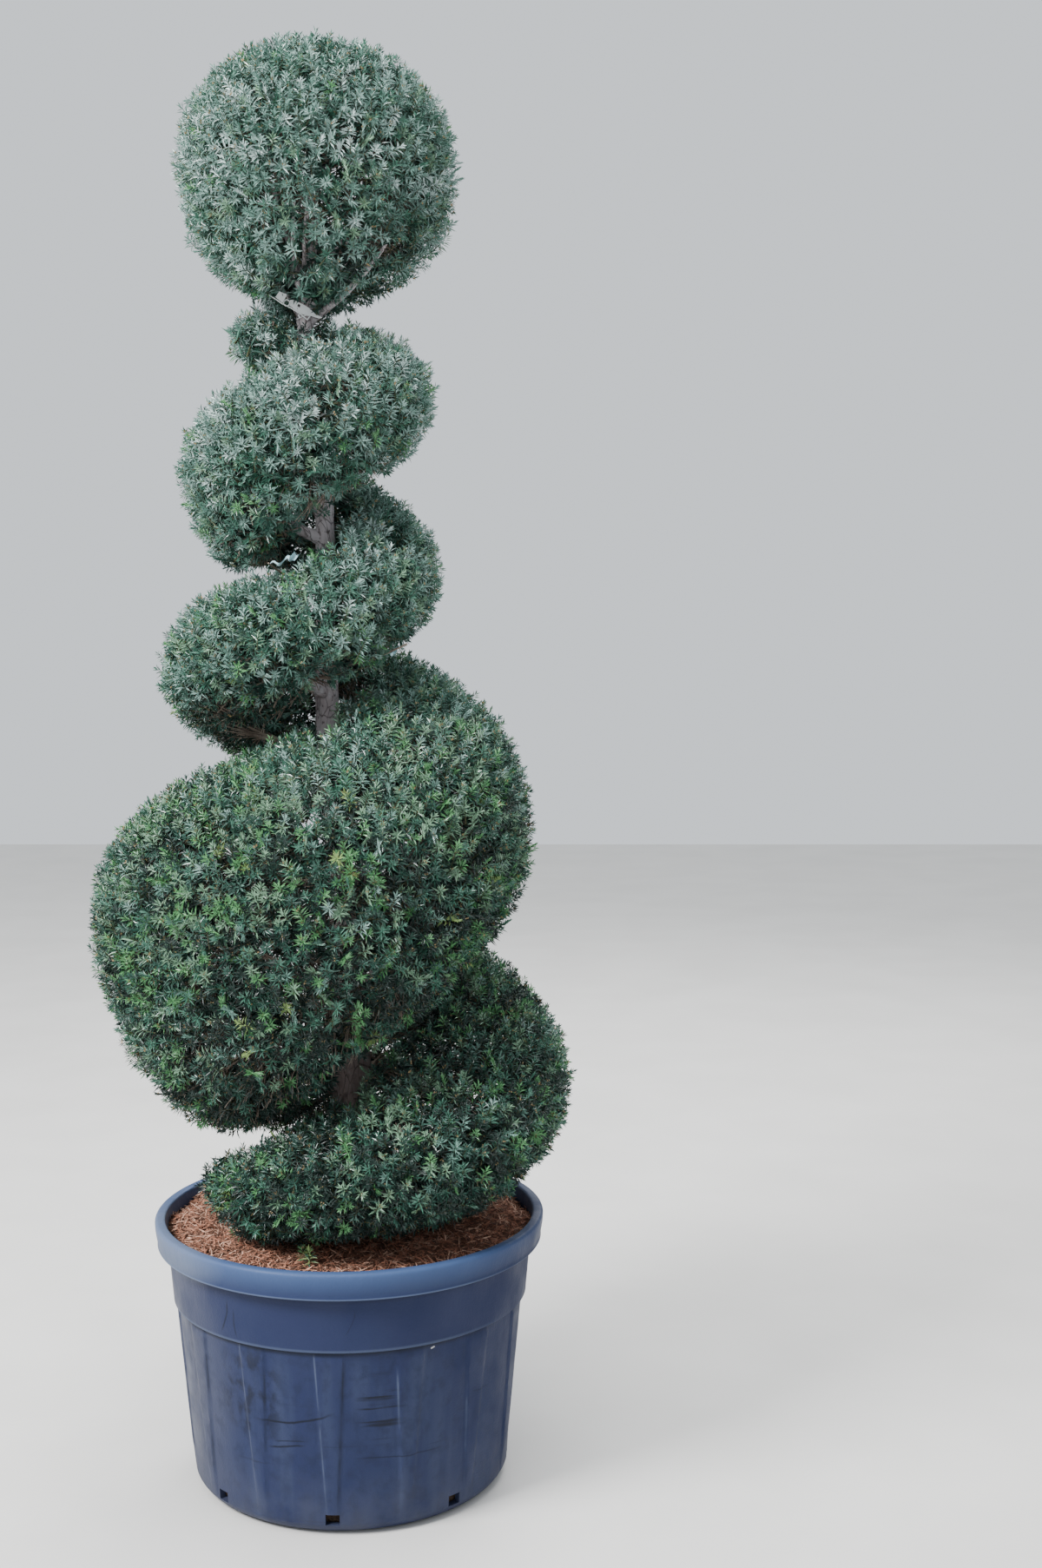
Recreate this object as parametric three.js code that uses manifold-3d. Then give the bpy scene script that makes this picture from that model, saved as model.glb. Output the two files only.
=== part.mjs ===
// Spiral topiary of clipped conifer in a round nursery pot, in millimetres, +Z up.
// The origin is the middle of the pot's flat underside. The viewer stands at -Y.
import * as THREE from "three";
import { mergeVertices } from "three/addons/utils/BufferGeometryUtils.js";
import Module from "manifold-3d";

const wasm = await Module();
wasm.setup();
const { Manifold, Mesh } = wasm;

// Driving dimensions of the pot.
const RIM_RADIUS = 360;
const POT_HEIGHT = 497;
const LIP_LEVEL = 448.6;
const COLLAR_LEVEL = 347;
const COLLAR_RADIUS = 327.6;
const BASE_RADIUS = 258;
const WALL = 4.5;
const POT_SIDES = 42;
const RIBS = 14;
const RIB_HEIGHT = 3.2;
const DRAIN_HOLES = 8;
const DRAIN_WIDTH = 25;
const DRAIN_HEIGHT = 20;
const DRAIN_LEVEL = 31;
const FIRST_DRAIN = 268;
const POT_FLOOR = 6;
const RIM_LIP = 5.4;
const RIM_INSIDE = 18.5;
const COLLAR_STEP = 8;
const FOOT_SPREAD = 27;
// The pot's inner wall, from its floor up to the rim.
const INNER_WALL = [
  { level: POT_FLOOR, radius: BASE_RADIUS + 8 },
  { level: 25, radius: BASE_RADIUS + FOOT_SPREAD - WALL },
  { level: COLLAR_LEVEL - 5, radius: COLLAR_RADIUS - COLLAR_STEP - WALL },
  { level: POT_HEIGHT - 8, radius: RIM_RADIUS - RIM_INSIDE },
];

// Driving dimensions of what the pot holds.
const MULCH_LEVEL = 482;
const MULCH_DEPTH = 34;
const MULCH_BUMP = 5;
const MULCH_EDGE_DROP = 6;
const MULCH_RINGS = [0.8, 0.5];
const MULCH_CROWN = 100;
const MULCH_SEED = 71;
const CLEAR = 0.35;
const FINEST = 0.05;

// The trunk: its middle at each level, and its radius there.
const TRUNK = [
  { level: 482, x: 4, y: 0, radius: 44 },
  { level: 760, x: 6, y: 4, radius: 31 },
  { level: 1110, x: -14, y: 6, radius: 26 },
  { level: 1460, x: -35, y: 0, radius: 22 },
  { level: 1790, x: -37, y: 4, radius: 17 },
  { level: 2100, x: -67, y: 0, radius: 15 },
  { level: 2300, x: -52, y: 0, radius: 10 },
  { level: 2480, x: -44, y: 0, radius: 4 },
];
const FLARE_RADIUS = 20;
const FLARE_HEIGHT = 70;
const FLARE_LOBES = 5;
const FLARE_LOBING = 0.35;
const TRUNK_SIDES = 10;
const TRUNK_STEPS = 13;
const STEP_CROWDING = 1.25;

// The spiral of foliage. Turn is in degrees round the trunk, anticlockwise from above,
// 270 at the front. Reach is from the trunk's middle, widest is the level of that reach.
const SPIRAL = [
  { turn: 200, reach: 338, widest: 592 },
  { turn: 360, reach: 420, widest: 735 },
  { turn: 540, reach: 468, widest: 1000 },
  { turn: 720, reach: 372, widest: 1235 },
  { turn: 900, reach: 314, widest: 1475 },
  { turn: 1080, reach: 222, widest: 1655 },
  { turn: 1260, reach: 264, widest: 1825 },
  { turn: 1440, reach: 234, widest: 2005 },
  { turn: 1640, reach: 138, widest: 2098 },
];
// The groove clipped between two turns: its level at the trunk.
const GROOVE = [
  { turn: -180, level: 484 },
  { turn: 0, level: 488 },
  { turn: 180, level: 632 },
  { turn: 360, level: 945 },
  { turn: 540, level: 1335 },
  { turn: 720, level: 1530 },
  { turn: 900, level: 1690 },
  { turn: 1080, level: 1840 },
  { turn: 1260, level: 2015 },
  { turn: 1440, level: 2125 },
  { turn: 1640, level: 2182 },
];
const GROOVE_HALF = 5;
const SPIRAL_START = 200;
const SPIRAL_END = 1640;
const START_ROUND = 16;
const END_ROUND = 30;
const BLUNT = 0.62;
const TURN_MASSES = 14;
const TOP_FULLNESS = 2.3;
const UNDER_FULLNESS = 2.1;
const TRUNK_GAP = 12;
const CORE_LEAST = 20;
const CORE_TOP_SINK = 0.7;
const UNDER_LIFT = 0.14;
const MASS_GAP = 0.6;
const TURN_STEP = 17.5;
const SECTION_STEPS = 8;

// The ball on top.
const BALL = { x: -44, y: 0, level: 2384, radius: 262, half: 247 };
const BALL_FULLNESS = 2.15;
const BALL_RINGS = 9;
const BALL_SWEEP = 160;
const BALL_SIDES = 20;
const BALL_BOUGHS = 4;
const BALL_FORK = 2142;
const BALL_HOLLOW = 0.45;
const FIRST_BALL_BOUGH = 335;
const BALL_FORK_STEP = 14;
const BALL_BOUGH_THICK = 9;
const BALL_BOUGH_END = -22;
const BALL_BOUGH_INSET = 110;
const BALL_SPRAY_TOP = 0.98;
const BALL_SPRAY_SWEEP = 1.84;
const BALL_SEED = 101;

// Needle sprays and twigs.
const SPRAY_STAND = 28;
const SPRAY_LENGTH = 76;
const SPRAY_HALF_WIDTH = 28;
const SPRAY_THICKNESS = 8;
const SPRAY_SPACING = 114;
const SPRAY_ROOT = 10;
const SPRAY_LEAN = 56;
const SPRAY_LEAN_SPREAD = 12;
const SPRAY_LEAN_STEP = 3;
const SPRAY_LEAST = 0.8;
const SPRAY_SPREAD = 0.3;
const SPRAY_SHRINK = 0.05;
const SPRAY_UPTURN = 0.5;
const SPRAY_ROLL = 0.6;
const SPRAY_TRIES = 6;
const SPRAY_MARGIN = 5;
const SPRAY_LOWEST = -62;
const SPRAY_HIGHEST = 76;
const GOLDEN_SHARE = 0.618034;
const NEARBY = 0.01;
// The blade's outline: shares of its length and of its half width, and where it is thickest.
const BLADE = [
  [0, 0],
  [0.52, 0.95],
  [0.62, 0.28],
  [0.84, 0.8],
  [1, 0],
  [0.72, -0.24],
  [0.66, -1],
];
const BLADE_PEAK = 0.6;
const TWIGS = 3;
const TWIG_RADIUS = 5;
const TWIG_SIDES = 3;
const TWIG_SAG = 6;
const TWIG_FOOT = 6;
const TWIG_MARGIN = 8;
const TWIG_SLOPE = -34;
const TWIG_SLOPE_SPREAD = 12;
const TWIG_SINK = 0.04;
const TWIG_RISE = 8;
const BOUGH_BUTT = 6;
const BOUGH_GROWTH = 0.02;
const BOUGH_LIFT = 4;
const BOUGH_RISE = 0.06;
const BOUGH_DEPTH = 0.72;
const BOUGH_END = -12;
const BOUGH_STEPS = 3;
const BOUGH_SIDES = 5;
const BOUGH_TAPER = 0.45;
const BOUGH_SAG = 0.06;
const STEM_FOOT = 16;
const STEM_STEPS = 2;
const LIMB_MARKS = 8;
const LIMB_MARGIN = 4;

// Label that hangs at the neck.
const LABEL = { length: 95, width: 22, thickness: 1.2, tilt: -29, hole: 6, holeIn: 45, along: 30, drop: 12 };
const LABEL_LEVEL = 2130;
const LOOP = { gap: 1.2, thick: 2.2, half: 2, sides: 10 };

const COLOURS = {
  pot: [0x2f3c55, 0.55],
  soil: [0x3a2a20, 0.95],
  mulch: [0x7a4630, 0.95],
  bark: [0x6f5a4c, 0.9],
  bough: [0x6a4d3a, 0.9],
  foliage: [0x2f4a35, 0.8],
  label: [0xe8e8e2, 0.5],
};

// Seeded random numbers, the same on every run.
function seeded(seed) {
  let state = seed * 7919 + 17;
  return () => {
    state = (state * 1664525 + 1013904223) % 4294967296;
    return state / 4294967296;
  };
}

// A smooth value between stations: a cubic with each station's mean slope.
function smooth(stations, key, name, at) {
  const last = stations.length - 1;
  const slope = (i) => {
    const a = stations[Math.max(i - 1, 0)];
    const b = stations[Math.min(i + 1, last)];
    return (b[name] - a[name]) / (b[key] - a[key]);
  };
  let i = 0;
  while (i < last - 1 && at > stations[i + 1][key]) {
    i += 1;
  }
  const span = stations[i + 1][key] - stations[i][key];
  const t = THREE.MathUtils.clamp((at - stations[i][key]) / span, 0, 1);
  const start = stations[i][name];
  const end = stations[i + 1][name];
  const s = t * t * (3 - 2 * t);
  const lead = t * (1 - t) * (1 - t) * span * slope(i);
  const tail = t * t * (1 - t) * span * slope(i + 1);
  return start + (end - start) * s + lead - tail;
}

const radians = THREE.MathUtils.degToRad;
const trunkRadius = (level) => smooth(TRUNK, "level", "radius", level);

function trunkMiddle(level) {
  return new THREE.Vector3(smooth(TRUNK, "level", "x", level), smooth(TRUNK, "level", "y", level), level);
}

// A closed solid from points and triangles, its faces turned outwards.
function solidOf(points, triangles) {
  let volume = 0;
  const cross = new THREE.Vector3();
  for (const [a, b, c] of triangles) {
    volume += points[a].dot(cross.crossVectors(points[b], points[c]));
  }
  const faces = volume > 0 ? triangles : triangles.map(([a, b, c]) => [a, c, b]);
  const vertProperties = new Float32Array(points.flatMap((p) => [p.x, p.y, p.z]));
  return new Manifold(new Mesh({ numProp: 3, vertProperties, triVerts: new Uint32Array(faces.flat()) }));
}

// A solid from a closed three.js geometry.
function solidFrom(geometry) {
  const bare = geometry.clone();
  bare.deleteAttribute("normal");
  bare.deleteAttribute("uv");
  const merged = mergeVertices(bare, 1e-4);
  const points = [];
  for (let i = 0; i < merged.attributes.position.count; i += 1) {
    points.push(new THREE.Vector3().fromBufferAttribute(merged.attributes.position, i));
  }
  const triangles = [];
  const index = merged.index.array;
  for (let i = 0; i < index.length; i += 3) {
    const [a, b, c] = [index[i], index[i + 1], index[i + 2]];
    if (a !== b && b !== c && a !== c) {
      triangles.push([a, b, c]);
    }
  }
  return solidOf(points, triangles);
}

// A skin over a row of rings that all have the same number of points, closed by flat ends.
function loft(rings) {
  const count = rings[0].length;
  const triangles = [];
  for (let k = 0; k + 1 < rings.length; k += 1) {
    for (let i = 0; i < count; i += 1) {
      const a = k * count + i;
      const b = k * count + ((i + 1) % count);
      triangles.push([a, b, b + count], [a, b + count, a + count]);
    }
  }
  const end = (rings.length - 1) * count;
  for (let i = 1; i + 1 < count; i += 1) {
    triangles.push([0, i + 1, i], [end, end + i, end + i + 1]);
  }
  return solidOf(rings.flat(), triangles);
}

// A limb with the given radius at each point of its path.
function limb(path, radii, sides) {
  const rings = path.map((point, k) => {
    const before = path[Math.max(k - 1, 0)];
    const after = path[Math.min(k + 1, path.length - 1)];
    const forward = after.clone().sub(before).normalize();
    const guide = Math.abs(forward.z) > 0.9 ? new THREE.Vector3(1, 0, 0) : new THREE.Vector3(0, 0, 1);
    const across = new THREE.Vector3().crossVectors(forward, guide).normalize();
    const up = new THREE.Vector3().crossVectors(across, forward);
    const ring = [];
    for (let i = 0; i < sides; i += 1) {
      const angle = (2 * Math.PI * i) / sides;
      ring.push(
        point
          .clone()
          .addScaledVector(across, radii[k] * Math.cos(angle))
          .addScaledVector(up, radii[k] * Math.sin(angle)),
      );
    }
    return ring;
  });
  return loft(rings);
}

// The trunk, or a skin that lies `extra` outside it.
function trunkSolid(extra) {
  const bottom = TRUNK[0].level;
  const top = TRUNK[TRUNK.length - 1].level;
  const rings = [];
  for (let k = 0; k <= TRUNK_STEPS; k += 1) {
    const level = bottom + (top - bottom) * (k / TRUNK_STEPS) ** STEP_CROWDING;
    const middle = trunkMiddle(level);
    if (k === 0) {
      middle.z += CLEAR - extra;
    }
    if (k === TRUNK_STEPS) {
      middle.z += extra;
    }
    const flare = Math.exp(-(level - bottom) / FLARE_HEIGHT);
    const ring = [];
    for (let i = 0; i < TRUNK_SIDES; i += 1) {
      const angle = (2 * Math.PI * i) / TRUNK_SIDES;
      const lobes = 1 + FLARE_LOBING * Math.cos(FLARE_LOBES * angle);
      const radius = trunkRadius(level) + FLARE_RADIUS * flare * lobes + extra;
      ring.push(new THREE.Vector3(radius * Math.cos(angle), radius * Math.sin(angle), 0).add(middle));
    }
    rings.push(ring);
  }
  return loft(rings);
}

// The level of the clipped groove at the trunk.
const groove = (turn) => smooth(GROOVE, "turn", "level", turn);

// The clipped section of the spiral at one turn angle.
function section(turn) {
  const reach = smooth(SPIRAL, "turn", "reach", turn);
  const widest = smooth(SPIRAL, "turn", "widest", turn);
  const fromStart = THREE.MathUtils.clamp((turn - SPIRAL_START) / START_ROUND, 0, 1);
  const fromEnd = THREE.MathUtils.clamp((SPIRAL_END - turn) / END_ROUND, 0, 1);
  const full = Math.sqrt(1 - (1 - fromStart) ** 2) * Math.sqrt(1 - (1 - fromEnd) ** 2);
  const swell = BLUNT + (1 - BLUNT) * full;
  const inner = trunkRadius(widest) + TRUNK_GAP;
  const top = widest + (groove(turn) - GROOVE_HALF - widest) * swell;
  const bottom = widest + (groove(turn - 360) + GROOVE_HALF - widest) * swell;
  return { inner, reach: inner + (reach - inner) * swell, widest, top, bottom };
}

// The section of the dense core, which the sprays stand out of.
function coreSection(turn) {
  const whole = section(turn);
  const { inner, widest } = whole;
  const reach = Math.max(whole.reach - SPRAY_STAND, inner + CORE_LEAST);
  const top = whole.top - SPRAY_STAND * CORE_TOP_SINK;
  const bottom = whole.bottom + UNDER_LIFT * (widest - whole.bottom);
  return { inner, reach, widest, top, bottom };
}

// A point on a section. Slope runs from -90, at the trunk below, to 90, at the trunk above.
function onSection(shape, turn, slope) {
  const fullness = slope > 0 ? TOP_FULLNESS : UNDER_FULLNESS;
  const height = slope > 0 ? shape.top - shape.widest : shape.widest - shape.bottom;
  const out = Math.max(Math.cos(radians(slope)), 0) ** (2 / fullness);
  const rise = Math.sign(slope) * Math.abs(Math.sin(radians(slope))) ** (2 / fullness);
  const radius = shape.inner + (shape.reach - shape.inner) * out;
  const point = trunkMiddle(shape.widest + height * rise);
  point.x += radius * Math.cos(radians(turn));
  point.y += radius * Math.sin(radians(turn));
  return point;
}

// Whether a point lies inside the spiral's section, between two turn angles.
function inSpiral(point, from, to, sectionAt) {
  const middle = trunkMiddle(point.z);
  const angle = THREE.MathUtils.radToDeg(Math.atan2(point.y - middle.y, point.x - middle.x));
  const turn = angle + 360 * Math.round(((from + to) / 2 - angle) / 360);
  if (turn < from || turn > to) {
    return false;
  }
  const shape = sectionAt(turn);
  const radius = Math.hypot(point.x - middle.x, point.y - middle.y);
  const above = point.z > shape.widest;
  const fullness = above ? TOP_FULLNESS : UNDER_FULLNESS;
  const height = above ? shape.top - shape.widest : shape.widest - shape.bottom;
  const out = (radius - shape.inner) / (shape.reach - shape.inner);
  return out > 0 && out ** fullness + (Math.abs(point.z - shape.widest) / height) ** fullness < 1;
}

// A toothed blade of needles: an outline in one plane with a low peak on each face.
function spray(root, forward, across, scale) {
  const length = SPRAY_LENGTH * scale;
  const width = SPRAY_HALF_WIDTH * scale;
  const face = new THREE.Vector3().crossVectors(forward, across);
  const at = (along, side, up) =>
    root
      .clone()
      .addScaledVector(forward, along * length)
      .addScaledVector(across, side * width)
      .addScaledVector(face, up * SPRAY_THICKNESS);
  const points = BLADE.map(([along, side]) => at(along, side, 0));
  const peak = points.length;
  points.push(at(BLADE_PEAK, 0, 0.5), at(BLADE_PEAK, 0, -0.5));
  const triangles = [];
  for (let i = 0; i < peak; i += 1) {
    const next = (i + 1) % peak;
    triangles.push([i, next, peak], [next, i, peak + 1]);
  }
  return { points, triangles };
}

// The largest closed piece of a solid: loose scraps and sealed hollows are left out.
function wholePiece(solid) {
  let best = null;
  for (const piece of solid.decompose()) {
    if (!best || piece.volume() > best.volume()) {
      best = piece;
    }
  }
  return best;
}

const trunk = trunkSolid(0);
const trunkSpace = trunkSolid(CLEAR);
const nodes = [];

// Adds one sub-part, with its name and the colour it takes.
function addNode(name, solid, colour) {
  nodes.push({ name, solid: wholePiece(solid).simplify(FINEST), colour });
}

// A bough's path runs from the trunk's middle to a point inside its mass. The bough stops
// at `meet`, just outside the mass's core, and the mass's own stem carries on from there.
function boughPath(from, towards, entry) {
  const bend = from.clone().lerp(towards, 0.5);
  bend.z -= BOUGH_SAG * from.distanceTo(towards);
  const curve = new THREE.QuadraticBezierCurve3(from, bend, towards);
  const length = curve.getLength();
  let inside = 0;
  while (inside < 1 && !entry(curve.getPointAt(inside))) {
    inside += 0.01;
  }
  return { curve, length, meet: Math.max(inside - STEM_FOOT / length, 0.3) };
}

// Points and radii along part of a bough's path, each radius `extra` larger.
function along(path, from, to, steps, extra) {
  const points = [];
  const radii = [];
  for (let k = 0; k <= steps; k += 1) {
    const share = THREE.MathUtils.lerp(from, to, k / steps);
    points.push(path.curve.getPointAt(Math.min(share, 1)));
    radii.push(THREE.MathUtils.lerp(path.thick, path.thick * BOUGH_TAPER, share) + extra);
  }
  return limb(points, radii, BOUGH_SIDES);
}

// A bough, the space that masses are cut clear of, and the stem beyond the bough's tip.
function boughParts(path) {
  const stemFoot = path.meet + CLEAR / path.length;
  return {
    path,
    bough: along(path, 0, path.meet, BOUGH_STEPS, 0).subtract(trunkSpace),
    space: along(path, 0, stemFoot, BOUGH_STEPS, CLEAR),
    stem: along(path, stemFoot, 1, STEM_STEPS, 0),
  };
}

// Twigs that fan out from the stem's foot to points of the core's underside.
function twigs(foot, targets) {
  return targets.map((target) => {
    const knee = foot.clone().lerp(target, 0.5);
    knee.z -= TWIG_SAG;
    const radii = [TWIG_RADIUS, TWIG_RADIUS * 0.8, TWIG_RADIUS * 0.5];
    return limb([foot, knee, target], radii, TWIG_SIDES);
  });
}

// Sprays over a surface given by surface(u, v), kept only where `keeps` holds for each point.
function sprays(surface, area, random, keeps) {
  const found = [];
  const count = Math.round(area / SPRAY_SPACING ** 2);
  const shift = random();
  for (let k = 0; k < count; k += 1) {
    const u = (k + 0.5) / count;
    const v = (k * GOLDEN_SHARE + shift) % 1;
    const at = surface(u, v);
    const alongU = surface(u + NEARBY, v).sub(surface(u - NEARBY, v));
    const alongV = surface(u, v + NEARBY).sub(surface(u, v - NEARBY));
    const normal = new THREE.Vector3().crossVectors(alongU, alongV).normalize();
    for (let attempt = 0; attempt < SPRAY_TRIES; attempt += 1) {
      const spin = 2 * Math.PI * random();
      const lean = radians(SPRAY_LEAN + SPRAY_LEAN_SPREAD * (random() - 0.5) + SPRAY_LEAN_STEP * attempt);
      const scale = SPRAY_LEAST + SPRAY_SPREAD * random() - SPRAY_SHRINK * attempt;
      const flat = alongU.clone().normalize().applyAxisAngle(normal, spin);
      flat.z += SPRAY_UPTURN;
      flat.addScaledVector(normal, -flat.dot(normal)).normalize();
      const forward = normal.clone().multiplyScalar(Math.cos(lean)).addScaledVector(flat, Math.sin(lean));
      const across = new THREE.Vector3().crossVectors(normal, forward).normalize();
      across.applyAxisAngle(forward, SPRAY_ROLL * (random() - 0.5));
      const root = at.clone().addScaledVector(normal, -SPRAY_ROOT);
      const blade = spray(root, forward, across, scale);
      if (blade.points.slice(1).every(keeps)) {
        found.push(solidOf(blade.points, blade.triangles));
        break;
      }
    }
  }
  return found;
}

// The turn angles that one mass of the spiral keeps between.
function massRange(number) {
  const each = (SPIRAL_END - SPIRAL_START) / TURN_MASSES;
  const from = SPIRAL_START + each * number;
  return { from: from + MASS_GAP, to: from + each - MASS_GAP };
}

// The bough of one mass of the spiral: out of the trunk just above the groove, up into the core.
function spiralBough(number) {
  const { from, to } = massRange(number);
  const turn = (from + to) / 2;
  const core = coreSection(turn);
  const whole = section(turn);
  const thick = BOUGH_BUTT + BOUGH_GROWTH * whole.reach;
  const rise = BOUGH_LIFT + BOUGH_RISE * (whole.widest - whole.bottom);
  const start = trunkMiddle(whole.bottom + thick + rise);
  const shallow = { ...core, reach: core.inner + BOUGH_DEPTH * (core.reach - core.inner) };
  const end = onSection(shallow, turn, BOUGH_END);
  const path = boughPath(start, end, (point) => inSpiral(point, from, to, coreSection));
  return boughParts({ ...path, thick });
}

// The area of the skin over a row of rings, each step taken as a rectangle.
function skinArea(rings) {
  let area = 0;
  for (let k = 0; k + 1 < rings.length; k += 1) {
    for (let i = 0; i + 1 < rings[k].length; i += 1) {
      area += rings[k][i].distanceTo(rings[k][i + 1]) * rings[k][i].distanceTo(rings[k + 1][i]);
    }
  }
  return area;
}

// One mass of the spiral: its core, stem, twigs and sprays.
function spiralMass(number, own, clear) {
  const random = seeded(number + 1);
  const { from, to } = massRange(number);
  const steps = Math.ceil((to - from) / TURN_STEP);
  const rings = [];
  for (let k = 0; k <= steps; k += 1) {
    const turn = THREE.MathUtils.lerp(from, to, k / steps);
    const shape = coreSection(turn);
    const ring = [];
    for (let i = 0; i <= SECTION_STEPS; i += 1) {
      ring.push(onSection(shape, turn, -90 + (180 * i) / SECTION_STEPS));
    }
    rings.push(ring);
  }
  const foot = own.path.curve.getPointAt(Math.min(own.path.meet + TWIG_FOOT / own.path.length, 1));
  const targets = [];
  for (let k = 0; k < TWIGS; k += 1) {
    const turn = THREE.MathUtils.lerp(from + TWIG_MARGIN, to - TWIG_MARGIN, (k + 0.5) / TWIGS);
    const target = onSection(coreSection(turn), turn, TWIG_SLOPE - TWIG_SLOPE_SPREAD * random());
    target.lerp(trunkMiddle(target.z), TWIG_SINK);
    target.z += TWIG_RISE;
    targets.push(target);
  }
  const surface = (u, v) => {
    const turn = THREE.MathUtils.lerp(from + SPRAY_MARGIN, to - SPRAY_MARGIN, u);
    return onSection(coreSection(turn), turn, THREE.MathUtils.lerp(SPRAY_LOWEST, SPRAY_HIGHEST, v));
  };
  const keeps = (point) => inSpiral(point, from, to, section) && clear(point);
  const blades = sprays(surface, skinArea(rings), random, keeps);
  return Manifold.union([loft(rings), own.stem, ...twigs(foot, targets), ...blades]);
}

// A point of the ball's surface, or of one that lies `inset` inside it.
function ballPoint(turn, slope, inset) {
  const out = Math.max(Math.cos(radians(slope)), 0) ** (2 / BALL_FULLNESS);
  const rise = Math.sign(slope) * Math.abs(Math.sin(radians(slope))) ** (2 / BALL_FULLNESS);
  return new THREE.Vector3(
    BALL.x + (BALL.radius - inset) * out * Math.cos(radians(turn)),
    BALL.y + (BALL.radius - inset) * out * Math.sin(radians(turn)),
    BALL.level + (BALL.half - inset) * rise,
  );
}

// Whether a point lies inside the ball, or inside one that is `inset` smaller.
function inBall(point, inset) {
  const out = Math.hypot(point.x - BALL.x, point.y - BALL.y) / (BALL.radius - inset);
  const rise = Math.abs(point.z - BALL.level) / (BALL.half - inset);
  return out ** BALL_FULLNESS + rise ** BALL_FULLNESS < 1;
}

// The boughs that fan out of the trunk under the ball.
function ballBoughs() {
  const foot = ballPoint(0, 90 - BALL_SWEEP, SPRAY_STAND);
  const hollowTop = BALL.level - BALL_HOLLOW * BALL.half;
  const hollowSlope = (hollowTop - foot.z) / (foot.x - BALL.x);
  const inCore = (point) => {
    const out = Math.hypot(point.x - BALL.x, point.y - BALL.y);
    return inBall(point, SPRAY_STAND) && point.z > hollowTop - hollowSlope * out;
  };
  const made = [];
  for (let k = 0; k < BALL_BOUGHS; k += 1) {
    const turn = FIRST_BALL_BOUGH - (360 / BALL_BOUGHS) * k;
    const start = trunkMiddle(BALL_FORK + BALL_FORK_STEP * k);
    const path = boughPath(start, ballPoint(turn, BALL_BOUGH_END, BALL_BOUGH_INSET), inCore);
    made.push(boughParts({ ...path, thick: BALL_BOUGH_THICK }));
  }
  return made;
}

// The ball: a turned core with a hollow underneath, stems and sprays.
function ballMass(boughs, clear) {
  const random = seeded(BALL_SEED);
  const profile = [new THREE.Vector2(0, BALL.half - SPRAY_STAND)];
  for (let k = 1; k <= BALL_RINGS; k += 1) {
    const point = ballPoint(0, 90 - (BALL_SWEEP * k) / BALL_RINGS, SPRAY_STAND);
    profile.push(new THREE.Vector2(point.x - BALL.x, point.z - BALL.level));
  }
  profile.push(new THREE.Vector2(0, -BALL_HOLLOW * BALL.half));
  const lathe = new THREE.LatheGeometry(profile, BALL_SIDES);
  lathe.rotateX(Math.PI / 2);
  lathe.translate(BALL.x, BALL.y, BALL.level);
  const surface = (u, v) => {
    const height = THREE.MathUtils.clamp(BALL_SPRAY_TOP - BALL_SPRAY_SWEEP * u, -1, 0.995);
    return ballPoint(360 * v, THREE.MathUtils.radToDeg(Math.asin(height)), SPRAY_STAND);
  };
  const area = 2 * Math.PI * BALL.radius ** 2 * BALL_SPRAY_SWEEP;
  const blades = sprays(surface, area, random, (point) => inBall(point, 0) && clear(point));
  return Manifold.union([solidFrom(lathe), ...boughs.map(({ stem }) => stem), ...blades]);
}

// A turned solid, where `shape` may move each point by its row in the profile and its column.
function turned(profile, shape) {
  const lathe = new THREE.LatheGeometry(profile, POT_SIDES);
  lathe.rotateX(Math.PI / 2);
  const place = lathe.attributes.position;
  for (let i = 0; i < place.count; i += 1) {
    const point = new THREE.Vector3().fromBufferAttribute(place, i);
    shape(i % profile.length, Math.floor(i / profile.length) % POT_SIDES, point);
    place.setXYZ(i, point.x, point.y, point.z);
  }
  return lathe;
}

// The pot: a turned wall with a hooked rim, a stepped collar, soft ribs and square drains.
function potSolid() {
  const lip = RIM_RADIUS - RIM_LIP;
  const outer = [
    [0, 0],
    [BASE_RADIUS, 0],
    [BASE_RADIUS + 15, 5],
    [BASE_RADIUS + FOOT_SPREAD, 24],
    [BASE_RADIUS + 36, 62],
    [COLLAR_RADIUS - COLLAR_STEP, COLLAR_LEVEL - 3],
    [COLLAR_RADIUS, COLLAR_LEVEL],
    [COLLAR_RADIUS + 9, LIP_LEVEL - 2],
    [COLLAR_RADIUS + 11, LIP_LEVEL + 32],
    [lip - 3.4, LIP_LEVEL + 28],
    [lip - 3.2, LIP_LEVEL],
    [lip, LIP_LEVEL],
    [RIM_RADIUS, POT_HEIGHT - 21],
    [RIM_RADIUS - 3, POT_HEIGHT - 8],
    [RIM_RADIUS - 12, POT_HEIGHT],
  ];
  const inner = INNER_WALL.map(({ radius, level }) => [radius, level]).reverse();
  const outline = [...outer, ...inner, [0, POT_FLOOR]];
  const profile = outline.map(([radius, level]) => new THREE.Vector2(radius, level));
  const wallFoot = 4;
  const wallTop = 5;
  const lathe = turned(profile, (row, column, point) => {
    if ((row === wallFoot || row === wallTop) && column % (POT_SIDES / RIBS) === 0) {
      const swell = 1 + RIB_HEIGHT / COLLAR_RADIUS;
      point.multiply(new THREE.Vector3(swell, swell, 1));
    }
  });
  let pot = solidFrom(lathe);
  for (let k = 0; k < DRAIN_HOLES; k += 1) {
    const box = new THREE.BoxGeometry(60, DRAIN_WIDTH, DRAIN_HEIGHT);
    box.translate(BASE_RADIUS + 30, 0, DRAIN_LEVEL);
    box.rotateZ(radians(FIRST_DRAIN + (360 / DRAIN_HOLES) * k));
    pot = pot.subtract(solidFrom(box));
  }
  return pot;
}

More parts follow.
